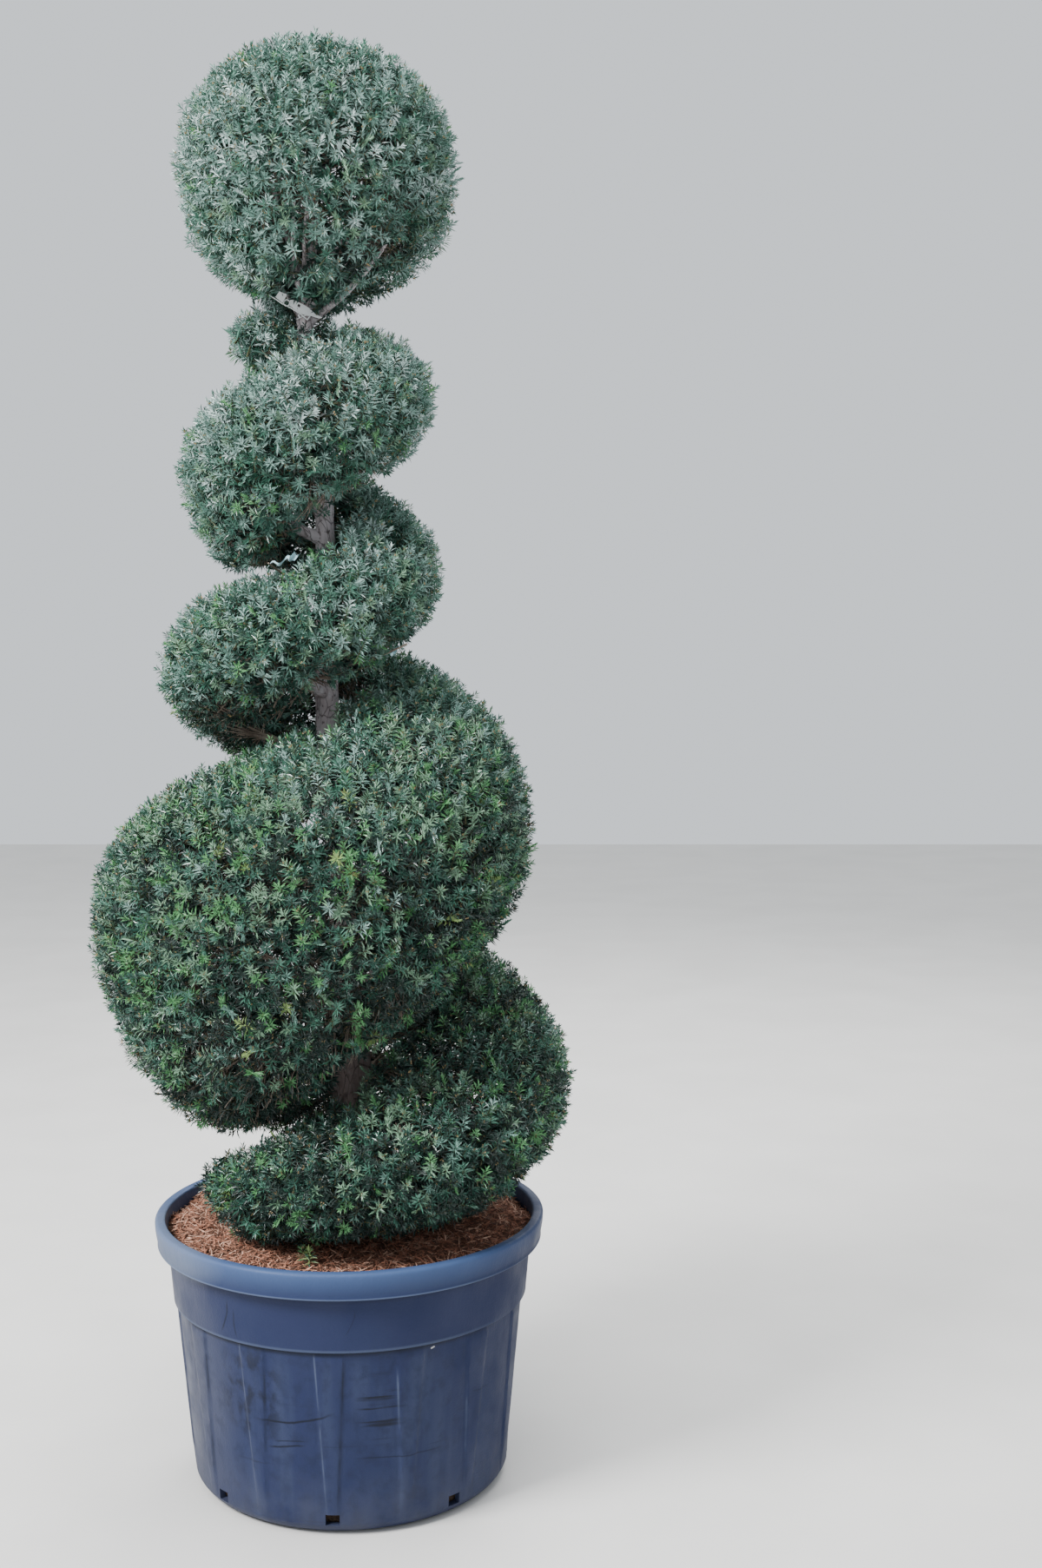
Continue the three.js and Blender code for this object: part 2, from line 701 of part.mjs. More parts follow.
// The pot's inner radius at a level, less the clearance.
function fillRadius(level) {
  let i = 0;
  while (i < INNER_WALL.length - 2 && level > INNER_WALL[i + 1].level) {
    i += 1;
  }
  const below = INNER_WALL[i];
  const above = INNER_WALL[i + 1];
  const t = (level - below.level) / (above.level - below.level);
  return THREE.MathUtils.lerp(below.radius, above.radius, t) - CLEAR;
}

// The soil and the roots in it: one solid that fills the pot up to the mulch.
function soilSolid() {
  const bottom = POT_FLOOR + CLEAR;
  const top = MULCH_LEVEL - MULCH_DEPTH - CLEAR;
  const levels = [bottom, INNER_WALL[1].level, INNER_WALL[2].level, top];
  const side = levels.map((level) => new THREE.Vector2(fillRadius(level), level));
  const profile = [new THREE.Vector2(0, bottom), ...side, new THREE.Vector2(0, top)];
  const lathe = new THREE.LatheGeometry(profile, POT_SIDES);
  lathe.rotateX(Math.PI / 2);
  return solidFrom(lathe);
}

// The bark mulch: a disc with an uneven top, level where the trunk stands on it.
function mulchSolid() {
  const random = seeded(MULCH_SEED);
  const bottom = MULCH_LEVEL - MULCH_DEPTH;
  const edge = MULCH_LEVEL - MULCH_EDGE_DROP;
  const profile = [
    new THREE.Vector2(0, bottom),
    new THREE.Vector2(fillRadius(bottom), bottom),
    new THREE.Vector2(fillRadius(edge), edge),
  ];
  const firstUneven = profile.length;
  for (const share of MULCH_RINGS) {
    profile.push(new THREE.Vector2(RIM_RADIUS * share, MULCH_LEVEL - MULCH_BUMP));
  }
  profile.push(new THREE.Vector2(MULCH_CROWN, MULCH_LEVEL), new THREE.Vector2(0, MULCH_LEVEL));
  const bumps = Array.from({ length: MULCH_RINGS.length * POT_SIDES }, () => MULCH_BUMP * (2 * random() - 1));
  const lathe = turned(profile, (row, column, point) => {
    if (row >= firstUneven && row < firstUneven + MULCH_RINGS.length) {
      point.z += bumps[(row - firstUneven) * POT_SIDES + column];
    }
  });
  return solidFrom(lathe);
}

// A closed outline round a rectangle.
function rectangle(outline, left, right, half) {
  outline.moveTo(left, -half);
  outline.lineTo(right, -half);
  outline.lineTo(right, half);
  outline.lineTo(left, half);
  outline.closePath();
  return outline;
}

// The blank label: a holed strip that hangs from a loop round the neck.
function labelSolid() {
  const middle = trunkMiddle(LABEL_LEVEL);
  const loopRadius = trunkRadius(LABEL_LEVEL) + LOOP.gap;
  const strip = rectangle(new THREE.Shape(), -LABEL.length, 0, LABEL.width / 2);
  const holeAt = LABEL.holeIn - LABEL.length;
  strip.holes.push(rectangle(new THREE.Path(), holeAt, holeAt + LABEL.hole, LABEL.hole / 2));
  const plate = new THREE.ExtrudeGeometry(strip, { depth: LABEL.thickness, bevelEnabled: false });
  plate.rotateX(Math.PI / 2);
  plate.rotateY(radians(-LABEL.tilt));
  const front = middle.y - loopRadius - LOOP.thick / 2;
  plate.translate(middle.x + LABEL.along, front, LABEL_LEVEL - LABEL.drop);
  const ring = new THREE.LatheGeometry(
    [
      new THREE.Vector2(loopRadius, -LOOP.half),
      new THREE.Vector2(loopRadius + LOOP.thick, -LOOP.half),
      new THREE.Vector2(loopRadius + LOOP.thick, LOOP.half),
      new THREE.Vector2(loopRadius, LOOP.half),
      new THREE.Vector2(loopRadius, -LOOP.half),
    ],
    LOOP.sides,
  );
  ring.rotateX(Math.PI / 2);
  ring.translate(middle.x, middle.y, LABEL_LEVEL);
  return solidFrom(ring).add(solidFrom(plate)).subtract(trunkSpace);
}

const spiralBoughs = Array.from({ length: TURN_MASSES }, (unused, k) => spiralBough(k));
const underBall = ballBoughs();
const limbs = [...spiralBoughs, ...underBall];
const limbSpace = Manifold.union([trunkSpace, ...limbs.map(({ space }) => space)]);

// Points along every bough, with the distance that sprays keep from each.
const marks = limbs.flatMap(({ path }) =>
  Array.from({ length: LIMB_MARKS + 1 }, (unused, k) => ({
    point: path.curve.getPointAt((path.meet * k) / LIMB_MARKS),
    distance: path.thick + LIMB_MARGIN,
  })),
);
// Whether a point is well away from every bough.
const clearOfLimbs = (point) => marks.every((mark) => mark.point.distanceTo(point) > mark.distance);

addNode("pot", potSolid(), "pot");
addNode("soil", soilSolid(), "soil");
addNode("mulch", mulchSolid(), "mulch");
addNode("trunk", trunk, "bark");
spiralBoughs.forEach((own, k) => {
  const number = String(k + 1).padStart(2, "0");
  addNode(`bough_${number}`, own.bough, "bough");
  addNode(`foliage_${number}`, spiralMass(k, own, clearOfLimbs).subtract(limbSpace), "foliage");
});
underBall.forEach(({ bough }, k) => addNode(`ball_bough_${k + 1}`, bough, "bough"));
addNode("ball_foliage", ballMass(underBall, clearOfLimbs).subtract(limbSpace), "foliage");
addNode("label", labelSolid(), "label");

const topiary = new THREE.Group();
for (const { name, solid, colour } of nodes) {
  const { vertProperties, triVerts } = solid.getMesh();
  const geometry = new THREE.BufferGeometry();
  geometry.setAttribute("position", new THREE.BufferAttribute(vertProperties, 3));
  geometry.setIndex(new THREE.BufferAttribute(triVerts, 1));
  geometry.computeVertexNormals();
  const [color, roughness] = COLOURS[colour];
  const mesh = new THREE.Mesh(geometry, new THREE.MeshStandardMaterial({ color, roughness, metalness: 0 }));
  mesh.name = name;
  topiary.add(mesh);
}

export default topiary;
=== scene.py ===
"""Looks of a clipped evergreen spiral in a round nursery pot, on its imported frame. Metres."""
import itertools
import math

import bpy
import numpy as np
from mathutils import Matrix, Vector
from mathutils.kdtree import KDTree


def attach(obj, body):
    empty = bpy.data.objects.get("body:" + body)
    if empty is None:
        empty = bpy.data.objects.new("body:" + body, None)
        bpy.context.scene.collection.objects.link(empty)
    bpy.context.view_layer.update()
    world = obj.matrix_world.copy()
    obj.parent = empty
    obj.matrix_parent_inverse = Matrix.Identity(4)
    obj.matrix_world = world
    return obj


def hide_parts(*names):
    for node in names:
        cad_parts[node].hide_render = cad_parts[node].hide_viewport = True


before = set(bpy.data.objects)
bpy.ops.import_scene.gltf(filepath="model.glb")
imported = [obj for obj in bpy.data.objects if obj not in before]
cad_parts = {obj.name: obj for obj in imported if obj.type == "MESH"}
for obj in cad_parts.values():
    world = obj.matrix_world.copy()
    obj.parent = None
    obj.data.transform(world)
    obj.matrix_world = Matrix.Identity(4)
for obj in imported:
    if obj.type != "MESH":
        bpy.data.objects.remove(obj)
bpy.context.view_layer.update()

# The photograph's frame and the camera that was fitted to it.
PHOTO_HEIGHT = 1805
FOCAL_PIXELS = 2253
SENSOR = 36.0
CAMERA_PLACE = (0.3186, -3.5604, 1.6484)
CAMERA_PITCH = math.radians(5.71)

# The trunk: level, middle x, middle y, radius.
TRUNK = np.array([
    (0.482, 0.004, 0.000, 0.044),
    (0.760, 0.006, 0.004, 0.031),
    (1.110, -0.014, 0.006, 0.026),
    (1.460, -0.035, 0.000, 0.022),
    (1.790, -0.037, 0.004, 0.017),
    (2.100, -0.067, 0.000, 0.015),
    (2.300, -0.052, 0.000, 0.010),
    (2.480, -0.044, 0.000, 0.004),
])
FLARE_RADIUS = 0.020
FLARE_HEIGHT = 0.070
FLARE_LOBES = 5
FLARE_LOBING = 0.35

# The clipped spiral: turn in degrees, reach from the trunk's middle, level of that reach.
SPIRAL = np.array([
    (200, 0.338, 0.592),
    (360, 0.420, 0.735),
    (540, 0.468, 1.000),
    (720, 0.372, 1.235),
    (900, 0.314, 1.475),
    (1080, 0.222, 1.655),
    (1260, 0.264, 1.825),
    (1440, 0.234, 2.005),
    (1640, 0.138, 2.098),
])
# The groove between two turns: turn in degrees, level at the trunk.
GROOVE = np.array([
    (-180, 0.484),
    (0, 0.488),
    (180, 0.632),
    (360, 0.945),
    (540, 1.335),
    (720, 1.530),
    (900, 1.690),
    (1080, 1.840),
    (1260, 2.015),
    (1440, 2.125),
    (1640, 2.182),
])
GROOVE_HALF = 0.005
SPIRAL_START = 200
SPIRAL_END = 1640
START_ROUND = 16
END_ROUND = 30
BLUNT = 0.62
TURN_MASSES = 14
TOP_FULLNESS = 2.3
UNDER_FULLNESS = 2.1
TRUNK_GAP = 0.012
CORE_DEPTH = 0.028
CORE_TOP_SINK = 0.7
UNDER_LIFT = 0.14
# Where the clipped edge departs from the plain section: turn and spread in degrees, and height.
HANGING = ((1290, 40, 0.072), (570, 45, 0.060), (224, 34, 0.028))
RAISED = ((1380, 55, 0.036), (958, 36, -0.045))
DRAWN_IN = ((200, 26, 0.034),)
# Where the underside is barest, the rounded last lobe, the crest before it, and how far the round
# caps at both ends bulge, in degrees.
BARE_TURN = 226
LOBE_TURN = 1500
CREST_TURN = 1300
CAP_SHARES = (0.35, 0.65, 0.86, 0.97, 0.999)
CAP_BULGE = 5.0
END_BULGE = 22.0

# Boughs of the spiral and of the ball.
BOUGH_BUTT = 0.006
BOUGH_GROWTH = 0.02
BOUGH_LIFT = 0.004
BOUGH_RISE = 0.06
BOUGH_DEPTH = 0.72
BOUGH_END = -12
BOUGH_TAPER = 0.45
BOUGH_SAG = 0.06
BOUGH_STEPS = 24
# Points along and round the limbs' bark, and how the boughs swell where they leave the trunk.
TRUNK_RINGS = 620
TRUNK_SIDES = 44
BOUGH_RINGS = 90
BOUGH_SIDES = 18
COLLAR_SWELL = 0.5
COLLAR_FALL = 14
BALL_MIDDLE = np.array((-0.044, 0.0, 2.384))
BALL_RADIUS = 0.262
BALL_HALF = 0.247
BALL_FULLNESS = 2.15
BALL_BOUGHS = 4
BALL_FORK = 2.142
BALL_FORK_STEP = 0.014
FIRST_BALL_BOUGH = 335
BALL_BOUGH_THICK = 0.009
BALL_BOUGH_END = -22
BALL_BOUGH_INSET = 0.110
BALL_TOP = 0.95

# The pot and its filling.
RIM_RADIUS = 0.360
POT_HEIGHT = 0.497
LIP_LEVEL = 0.4486
COLLAR_LEVEL = 0.347
COLLAR_RADIUS = 0.3276
BASE_RADIUS = 0.258
WALL = 0.0045
POT_COLUMNS = 504
RIBS = 14
RIB_HEIGHT = 0.0032
RIB_HEAD_WIDTH = 0.052
RIB_FOOT_WIDTH = 0.018
RIB_EDGE = 0.0020
RIB_FOOT = 0.03
RIB_HEAD = 0.34
RIBBED_FROM = BASE_RADIUS + 0.0285
DRAIN_HOLES = 8
DRAIN_SIZE = (0.060, 0.025, 0.020)
DRAIN_LEVEL = 0.031
FIRST_DRAIN = 268
MULCH_LEVEL = 0.482
MULCH_DEPTH = 0.034
MULCH_RADIUS = 0.3395
MULCH_RINGS = 34
MULCH_COLUMNS = 150

# Needles and shoots. A shoot reaches a little further than its stem, by its last needles.
STEM_LENGTH = 0.034
SHOOT_REACH = 0.043
LEADER_LENGTH = 0.070
NEEDLE_LENGTH = 0.0172
NEEDLE_WIDTH = 0.0030
NEEDLE_FOLD = 0.0008
OUTER_SPACING = 0.0162
UNDER_SPACING = 0.0195
INNER_SPACING = 0.028
LEADER_SPACING = 0.110
CLIP_LUMPS = 0.006
# How squarely every shoot faces out of the clipped surface at the least, and how it is turned there.
LEAST_FACING = 0.35
FACING_PUSH = 1.6
# How many places for shoots are tried on a square as wide as their spacing.
TRIED_SHOOTS = 2.4
GOLDEN_TURN = 2.39996
GOLDEN_SHARE = 0.618034

# Where the foliage parts in the photograph: the two ends of each gap (x, level), seen from the
# camera on the plane through the trunk, its half width, how far in front it starts, and what stays.
CLEARINGS = (
    ((-0.040, 1.742), (-0.038, 1.790), 0.009, 0.0, 0.0),
    ((-0.057, 1.702), (-0.050, 1.716), 0.010, 0.0, 0.5),
    ((-0.050, 1.426), (-0.038, 1.478), 0.020, 0.0, 0.0),
    ((-0.071, 2.082), (-0.071, 2.092), 0.008, 0.0, 0.0),
    ((-0.018, 2.152), (0.010, 2.176), 0.007, -0.040, 0.15),
    ((-0.100, 2.172), (-0.135, 2.210), 0.007, -0.055, 0.2),
    ((-0.088, 2.205), (-0.078, 2.335), 0.022, -0.050, 0.12),
    ((-0.008, 0.715), (0.000, 0.860), 0.022, 0.0, 0.2),
    ((-0.122, 2.166), (-0.034, 2.128), 0.015, -0.022, 0.0),
    ((-0.138, 1.694), (-0.082, 1.710), 0.010, -0.113, 0.0),
    ((0.099, 1.534), (0.099, 1.552), 0.015, -0.090, 0.0),
)
# The clipped surfaces' points: first and last slope and how many, and how many turns to a mass. The
# ball's slopes are even in height.
SURFACE_SLOPES = (-86, 84, 44)
SURFACE_TURNS = 27
BALL_HEIGHTS = (0.999, -0.992, 42)
BALL_TURNS = 60
NECK_TURNS = 36
NECK_LEVELS = 14
# How the plant's painted light and its fresh tufts run up it: the top is painted hazy and pale, the
# foot in deep painted shade and full of fresh tufts.
TONE_LEVELS = (0.50, 0.90, 1.25, 1.45, 1.80, 2.20, 2.60)
TONE_SUN = (-0.24, -0.08, 0.10, 0.24, 0.52, 0.56, 0.64)
TONE_FRESH = (0.20, 0.20, 0.25, 0.10, 0.05, 0.03, 0.03)


# Forms.

def smooth(stations, column, at):
    """A smooth value between stations: a cubic with each station's mean slope."""
    key = stations[:, 0]
    value = stations[:, column]
    at = np.asarray(at, float)
    order = np.arange(len(key))
    low = np.maximum(order - 1, 0)
    high = np.minimum(order + 1, len(key) - 1)
    slope = (value[high] - value[low]) / (key[high] - key[low])
    i = np.clip(np.searchsorted(key, at, side="left") - 1, 0, len(key) - 2)
    span = key[i + 1] - key[i]
    t = np.clip((at - key[i]) / span, 0, 1)
    ease = t * t * (3 - 2 * t)
    lead = t * (1 - t) ** 2 * span * slope[i]
    tail = t * t * (1 - t) * span * slope[i + 1]
    return value[i] + (value[i + 1] - value[i]) * ease + lead - tail


def trunk_middle(level):
    """The trunk's middle at a level."""
    level = np.asarray(level, float)
    return np.stack([smooth(TRUNK, 1, level), smooth(TRUNK, 2, level), level], axis=-1)


def trunk_radius(level):
    """The trunk's radius at a level."""
    return smooth(TRUNK, 3, level)


def section(turn, shrink=1.0):
    """The spiral's clipped section at a turn: inner and outer radius, widest, top and bottom level."""
    turn = np.asarray(turn, float)
    reach = smooth(SPIRAL, 1, turn)
    widest = smooth(SPIRAL, 2, turn)
    from_start = np.clip((turn - SPIRAL_START) / START_ROUND, 0, 1)
    from_end = np.clip((SPIRAL_END - turn) / END_ROUND, 0, 1)
    full = np.sqrt(1 - (1 - from_start) ** 2) * np.sqrt(1 - (1 - from_end) ** 2)
    swell = (BLUNT + (1 - BLUNT) * full) * shrink
    inner = trunk_radius(widest) + TRUNK_GAP
    top = widest + (smooth(GROOVE, 1, turn) - GROOVE_HALF - widest) * swell
    bottom = widest + (smooth(GROOVE, 1, turn - 360) + GROOVE_HALF - widest) * swell
    return inner, inner + (reach - inner) * swell, widest, top, bottom


def pushed_out(points, turn, radius):
    """Moves points away from the axis along their turns."""
    points[..., 0] += radius * np.cos(np.radians(turn))
    points[..., 1] += radius * np.sin(np.radians(turn))
    return points


def rounded(slope, fullness):
    """How far out and how high a slope lies on a rounded form, as shares."""
    slope = np.radians(slope)
    power = 2 / fullness
    return np.maximum(np.cos(slope), 0) ** power, np.sign(slope) * np.abs(np.sin(slope)) ** power


def on_section(shape, turn, slope):
    """Points on a section. Slope runs from -90, at the trunk below, to 90, at the trunk above."""
    inner, reach, widest, top, bottom = shape
    above = slope > 0
    out, rise = rounded(slope, np.where(above, TOP_FULLNESS, UNDER_FULLNESS))
    height = np.where(above, top - widest, widest - bottom)
    return pushed_out(trunk_middle(widest + height * rise), turn, inner + (reach - inner) * out)


def departed(points, turn, slope):
    """A section's points with undersides that hang and crests that stand up by the trunk."""
    out = np.maximum(np.cos(np.radians(slope)), 0)
    below = np.where(slope < 0, np.sin(np.pi * out ** 1.6), 0)
    above = np.where(slope > 0, 1 - out, 0)
    points = points.copy()
    for middle, spread, height in HANGING:
        points[..., 2] -= height * below * np.exp(-((turn - middle) / spread) ** 2)
    for middle, spread, height in RAISED:
        points[..., 2] += height * above * np.exp(-((turn - middle) / spread) ** 2)
    for middle, spread, depth in DRAWN_IN:
        pushed_out(points, turn, -(depth * out * np.exp(-((turn - middle) / spread) ** 2)))
    return points


def on_ball(turn, slope, inset):
    """Points of the ball, or of one that is smaller all round by the inset."""
    turn = np.radians(turn)
    out, rise = rounded(slope, BALL_FULLNESS)
    rise = rise * np.where(slope > 0, BALL_TOP, 1)
    return BALL_MIDDLE + np.stack([
        (BALL_RADIUS - inset) * out * np.cos(turn),
        (BALL_RADIUS - inset) * out * np.sin(turn),
        (BALL_HALF - inset) * rise + 0 * turn,
    ], axis=-1)


def mass_turns(number):
    """The turns between which one mass of the spiral lies."""
    each = (SPIRAL_END - SPIRAL_START) / TURN_MASSES
    return SPIRAL_START + each * number, SPIRAL_START + each * (number + 1)


def lumps(points, seed):
    """Smooth random values between 0 and 1, about one lump to each unit of the points."""
    points = np.asarray(points, float)
    cell = np.floor(points).astype(np.int64)
    t = points - cell
    t = t * t * (3 - 2 * t)
    total = np.zeros(points.shape[:-1])
    for corner in itertools.product((0, 1), repeat=3):
        at = cell + np.array(corner)
        key = at[..., 0] * 73856093 ^ at[..., 1] * 19349663 ^ at[..., 2] * 83492791 ^ seed * 40503
        key = (key ^ (key >> 13)) * 1274126177 & 0xFFFFFFFF
        value = (key >> 8 & 0xFFFF) / 65535
        total += value * np.prod(np.where(corner, t, 1 - t), axis=-1)
    return total


def circle(columns):
    """Angles once round, in radians."""
    return np.linspace(0, 2 * np.pi, columns, endpoint=False)


def crossed(rows, columns):
    """Every pair of a row's and a column's value, row by row."""
    return np.repeat(rows, len(columns)), np.tile(columns, len(rows))


def resampled(line, at, stations=None):
    """Points of a line at places between its stations."""
    stations = np.arange(len(line)) if stations is None else stations
    return np.stack([np.interp(at, stations, column) for column in line.T], axis=1)


def grid_faces(rows, columns, closed):
    """Faces of a grid of points, row by row. Its rows close on themselves where asked."""
    faces = []
    for row in range(rows - 1):
        for column in range(columns if closed else columns - 1):
            a = row * columns + column
            b = row * columns + (column + 1) % columns
            faces.append((a, a + columns, b + columns, b))
    return faces


def end_fans(columns, last, pole, way):
    """Faces that close a turned form at its two poles, one way round or the other."""
    faces = []
    for k in range(columns):
        pair = (k, (k + 1) % columns)
        faces.append((pole, *pair[::way]))
        faces.append((pole + 1, *(last + i for i in pair[::-way])))
    return faces


# Objects.

def object_from(name, points, faces, edges=()):
    """A mesh object at the origin from points, faces and edges."""
    mesh = bpy.data.meshes.new(name)
    mesh.from_pydata(np.asarray(points).tolist(), [tuple(e) for e in edges], [tuple(f) for f in faces])
    mesh.update()
    made = bpy.data.objects.new(name, mesh)
    bpy.context.scene.collection.objects.link(made)
    return made


def give_values(made, name, values, domain="POINT"):
    """Stores a number or a vector at each point or face of an object."""
    values = np.asarray(values, np.float32)
    kind, key = ("FLOAT", "value") if values.ndim == 1 else ("FLOAT_VECTOR", "vector")
    made.data.attributes.new(name, kind, domain).data.foreach_set(key, values.ravel())


def settled(made):
    """Keeps what an object's modifiers make as its plain mesh."""
    depsgraph = bpy.context.evaluated_depsgraph_get()
    mesh = bpy.data.meshes.new_from_object(made.evaluated_get(depsgraph), depsgraph=depsgraph)
    made.modifiers.clear()
    made.data = mesh
    return made


def joined(name, pieces):
    """One object from several, which are used up."""
    with bpy.context.temp_override(active_object=pieces[0], selected_editable_objects=pieces):
        bpy.ops.object.join()
    pieces[0].name = pieces[0].data.name = name
    return pieces[0]


def smooth_shaded(made, material=None):
    """Shades an object smooth, and gives it a material where asked."""
    made.data.polygons.foreach_set("use_smooth", [True] * len(made.data.polygons))
    if material:
        made.data.materials.append(material)
    return made


def finish_piece(made, slot, *replaced):
    """A finished piece rides on the one body and takes its place in the model."""
    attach(made, "root")
    if replaced:
        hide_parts(*replaced)


# Node trees.

class Flow:
    """What a node puts out, with plain signs for the math nodes that take it further."""

    def __init__(self, nodes, socket):
        self.nodes = nodes
        self.socket = socket

    def then(self, operation, *others, out=0):
        """Takes the flow through one math node."""
        kind = "ShaderNodeVectorMath" if self.socket.type in ("VECTOR", "RGBA") else "ShaderNodeMath"
        return self.nodes.add(kind, self, *others, out=out, operation=operation)

    def __add__(self, other):
        return self.then("ADD", other)

    def __sub__(self, other):
        return self.then("SUBTRACT", other)

    def __rsub__(self, other):
        return self.nodes.add("ShaderNodeMath", other, self, operation="SUBTRACT")

    def __mul__(self, other):
        return self.then("MULTIPLY", other)

    def __truediv__(self, other):
        return self.then("DIVIDE", other)

    def __rtruediv__(self, other):
        return self.nodes.add("ShaderNodeMath", other, self, operation="DIVIDE")

    def length(self):
        """The vector's length."""
        return self.then("LENGTH", out="Value")

    def ranged(self, low, high, to_low=0.0, to_high=1.0, **options):
        """The number taken from one range to another, and held at its ends."""
        return self.nodes.add("ShaderNodeMapRange", self, low, high, to_low, to_high, **options)

    def also(self, name):
        """Something else that the same node puts out."""
        return Flow(self.nodes, self.socket.node.outputs[name])

    def parts(self):
        """The vector's x, y and z."""
        split = self.nodes.add("ShaderNodeSeparateXYZ", self)
        return split, split.also("Y"), split.also("Z")


class Nodes:
    """A node tree to which nodes are added in one call each."""

    def __init__(self, tree):
        self.tree = tree

    def add(self, kind, *values, out=0, **named):
        """Adds a node. Values go to its inputs in order, Names to inputs, and names to its options."""
        node = self.tree.nodes.new(kind)
        for name in [name for name in named if name.islower()]:
            setattr(node, name, named.pop(name))
        for key, value in [*enumerate(values), *named.items()]:
            socket = node.inputs[key if isinstance(key, int) else key.replace("_", " ")]
            if isinstance(value, Flow):
                self.tree.links.new(value.socket, socket)
            elif value is not None:
                socket.default_value = value
        return Flow(self, node.outputs[out])

    def place(self):
        """The place on the object that is shaded."""
        return self.add("ShaderNodeTexCoord", out="Object")

    def noise(self, place, scale, detail, out=0):
        """Soft noise about the middle value 0.5."""
        return self.add("ShaderNodeTexNoise", Vector=place, Scale=scale, Detail=detail, out=out)

    def scaled(self, vector, by):
        """A vector times a number."""
        return self.add("ShaderNodeVectorMath", vector, None, None, by, operation="SCALE")

    def stored(self, name, kind="FLOAT"):
        """A value that is stored on the form by its name."""
        return self.add("GeometryNodeInputNamedAttribute", name, data_type=kind)

    def chance(self, low, high, seed):
        """A random number at each point."""
        return self.add("FunctionNodeRandomValue", None, None, low, high, Seed=seed, out=1)


class Group(Nodes):
    """A node group with named inputs, each given by its value or by the word for its kind."""

    def __init__(self, name, kind, output, **inputs):
        super().__init__(bpy.data.node_groups.new(name, kind))
        kinds = {tuple: "Vector", float: "Float", int: "Int"}
        for label, value in inputs.items():
            word = kinds.get(type(value), value)
            socket = self.tree.interface.new_socket(
                label.replace("_", " "), in_out="INPUT", socket_type="NodeSocket" + word)
            if word is not value:
                socket.default_value = value
        word = {"Mask": "Float"}.get(output, output)
        self.tree.interface.new_socket(output, in_out="OUTPUT", socket_type="NodeSocket" + word)
        self.given = self.tree.nodes.new("NodeGroupInput").outputs
        self.taken = self.tree.nodes.new("NodeGroupOutput").inputs

    def __getitem__(self, name):
        return Flow(self, self.given[name.replace("_", " ")])

    def done(self, flow):
        """Ends the group with what it puts out."""
        self.tree.links.new(flow.socket, self.taken[0])
        return self

    def finished(self, form, material):
        """Ends the group with its form made real, in one of the materials that it is given."""
        return self.done(self.dressed(self.add("GeometryNodeRealizeInstances", form), None, material))

    def dressed(self, form, chosen, material):
        """Sets a material on the chosen faces, or on all."""
        return self.add("GeometryNodeSetMaterial", form, chosen, self[material])

    def dealt_out(self, pieces, points, seed, rotation, scale, dye):
        """Sets pieces of a stock on points, each with its dye, and makes them real."""
        pieces = self.add(
            "GeometryNodeCollectionInfo", self[pieces], Separate_Children=True, Reset_Children=True)
        pick = self.add(
            "FunctionNodeRandomValue", *[None] * 4, 0, 99, Seed=seed, data_type="INT", out=2)
        laid = self.add(
            "GeometryNodeInstanceOnPoints", points, Instance=pieces, Pick_Instance=True,
            Instance_Index=pick, Rotation=rotation, Scale=scale)
        dyed = self.add(
            "GeometryNodeStoreNamedAttribute", laid, Name="dye", Value=dye,
            data_type="FLOAT", domain="INSTANCE")
        return self.add("GeometryNodeRealizeInstances", dyed)


def mask_group(name, **inputs):
    """A shader group that puts out a mask."""
    return Group(name, "ShaderNodeTree", "Mask", **inputs)


def form_group(name, **inputs):
    """A Geometry Nodes group that puts out a form."""
    return Group(name, "GeometryNodeTree", "Geometry", Geometry="Geometry", **inputs)


def grow(base, group, **values):
    """Runs a Geometry Nodes group on an object and keeps what it makes as a plain mesh."""
    modifier = base.modifiers.new(group.tree.name, "NODES")
    modifier.node_group = group.tree
    values = {name.replace("_", " "): value for name, value in values.items()}
    for item in group.tree.interface.items_tree:
        if item.in_out == "INPUT" and item.name in values:
            modifier[item.identifier] = values[item.name]
    attributes = settled(base).data.attributes
    for name in ("cover", "sun", "fresh", "open", "growth", "dye", "stem", "thick"):
        if name in attributes:
            attributes.remove(attributes[name])
    return base


# Materials.

def grain_group():
    """A mask of soft grain that may be stretched along an axis."""
    group = mask_group("grain", Stretch=(1, 1, 1), Scale=20.0, Detail=4.0, Low=0.35, High=0.65)
    noise = group.noise(group.place() * group["Stretch"], group["Scale"], group["Detail"])
    return group.done(noise.ranged(group["Low"], group["High"]))


def scratch_group():
    """A mask of thin lines: the edges of stretched, wavy cells, kept only in patches."""
    group = mask_group("scratches", Stretch=(1, 1, 1), Scale=8.0, Width=0.02, Amount=0.5)
    place = group.place()
    bent = place + group.noise(place, 3.0, 2.0, out="Color") * (0.3, 0.3, 0.3)
    cells = group.add("ShaderNodeTexVoronoi", Vector=bent * group["Stretch"], Scale=group["Scale"],
                      feature="DISTANCE_TO_EDGE", out="Distance")
    least = 0.9 - group["Amount"]
    kept = group.noise(place, 9.0, 3.0).ranged(least, least + 0.12)
    return group.done(cells.ranged(group["Width"], 0.0) * kept)


def rib_reach(place, first, ribs, foot, head, foot_width, head_width):
    """How far a place is from the middle of the nearest rib, half the rib's width, and their parts."""
    x, y, level = place.parts()
    phase = (y.then("ARCTAN2", x) - first) * ribs
    flat = place * (1, 1, 0)
    radius = flat.length()
    aside = phase.then("COSINE").then("ARCCOSINE") / ribs * radius
    return aside, level.ranged(foot, head, foot_width, head_width) * 0.5, phase, level, flat, radius


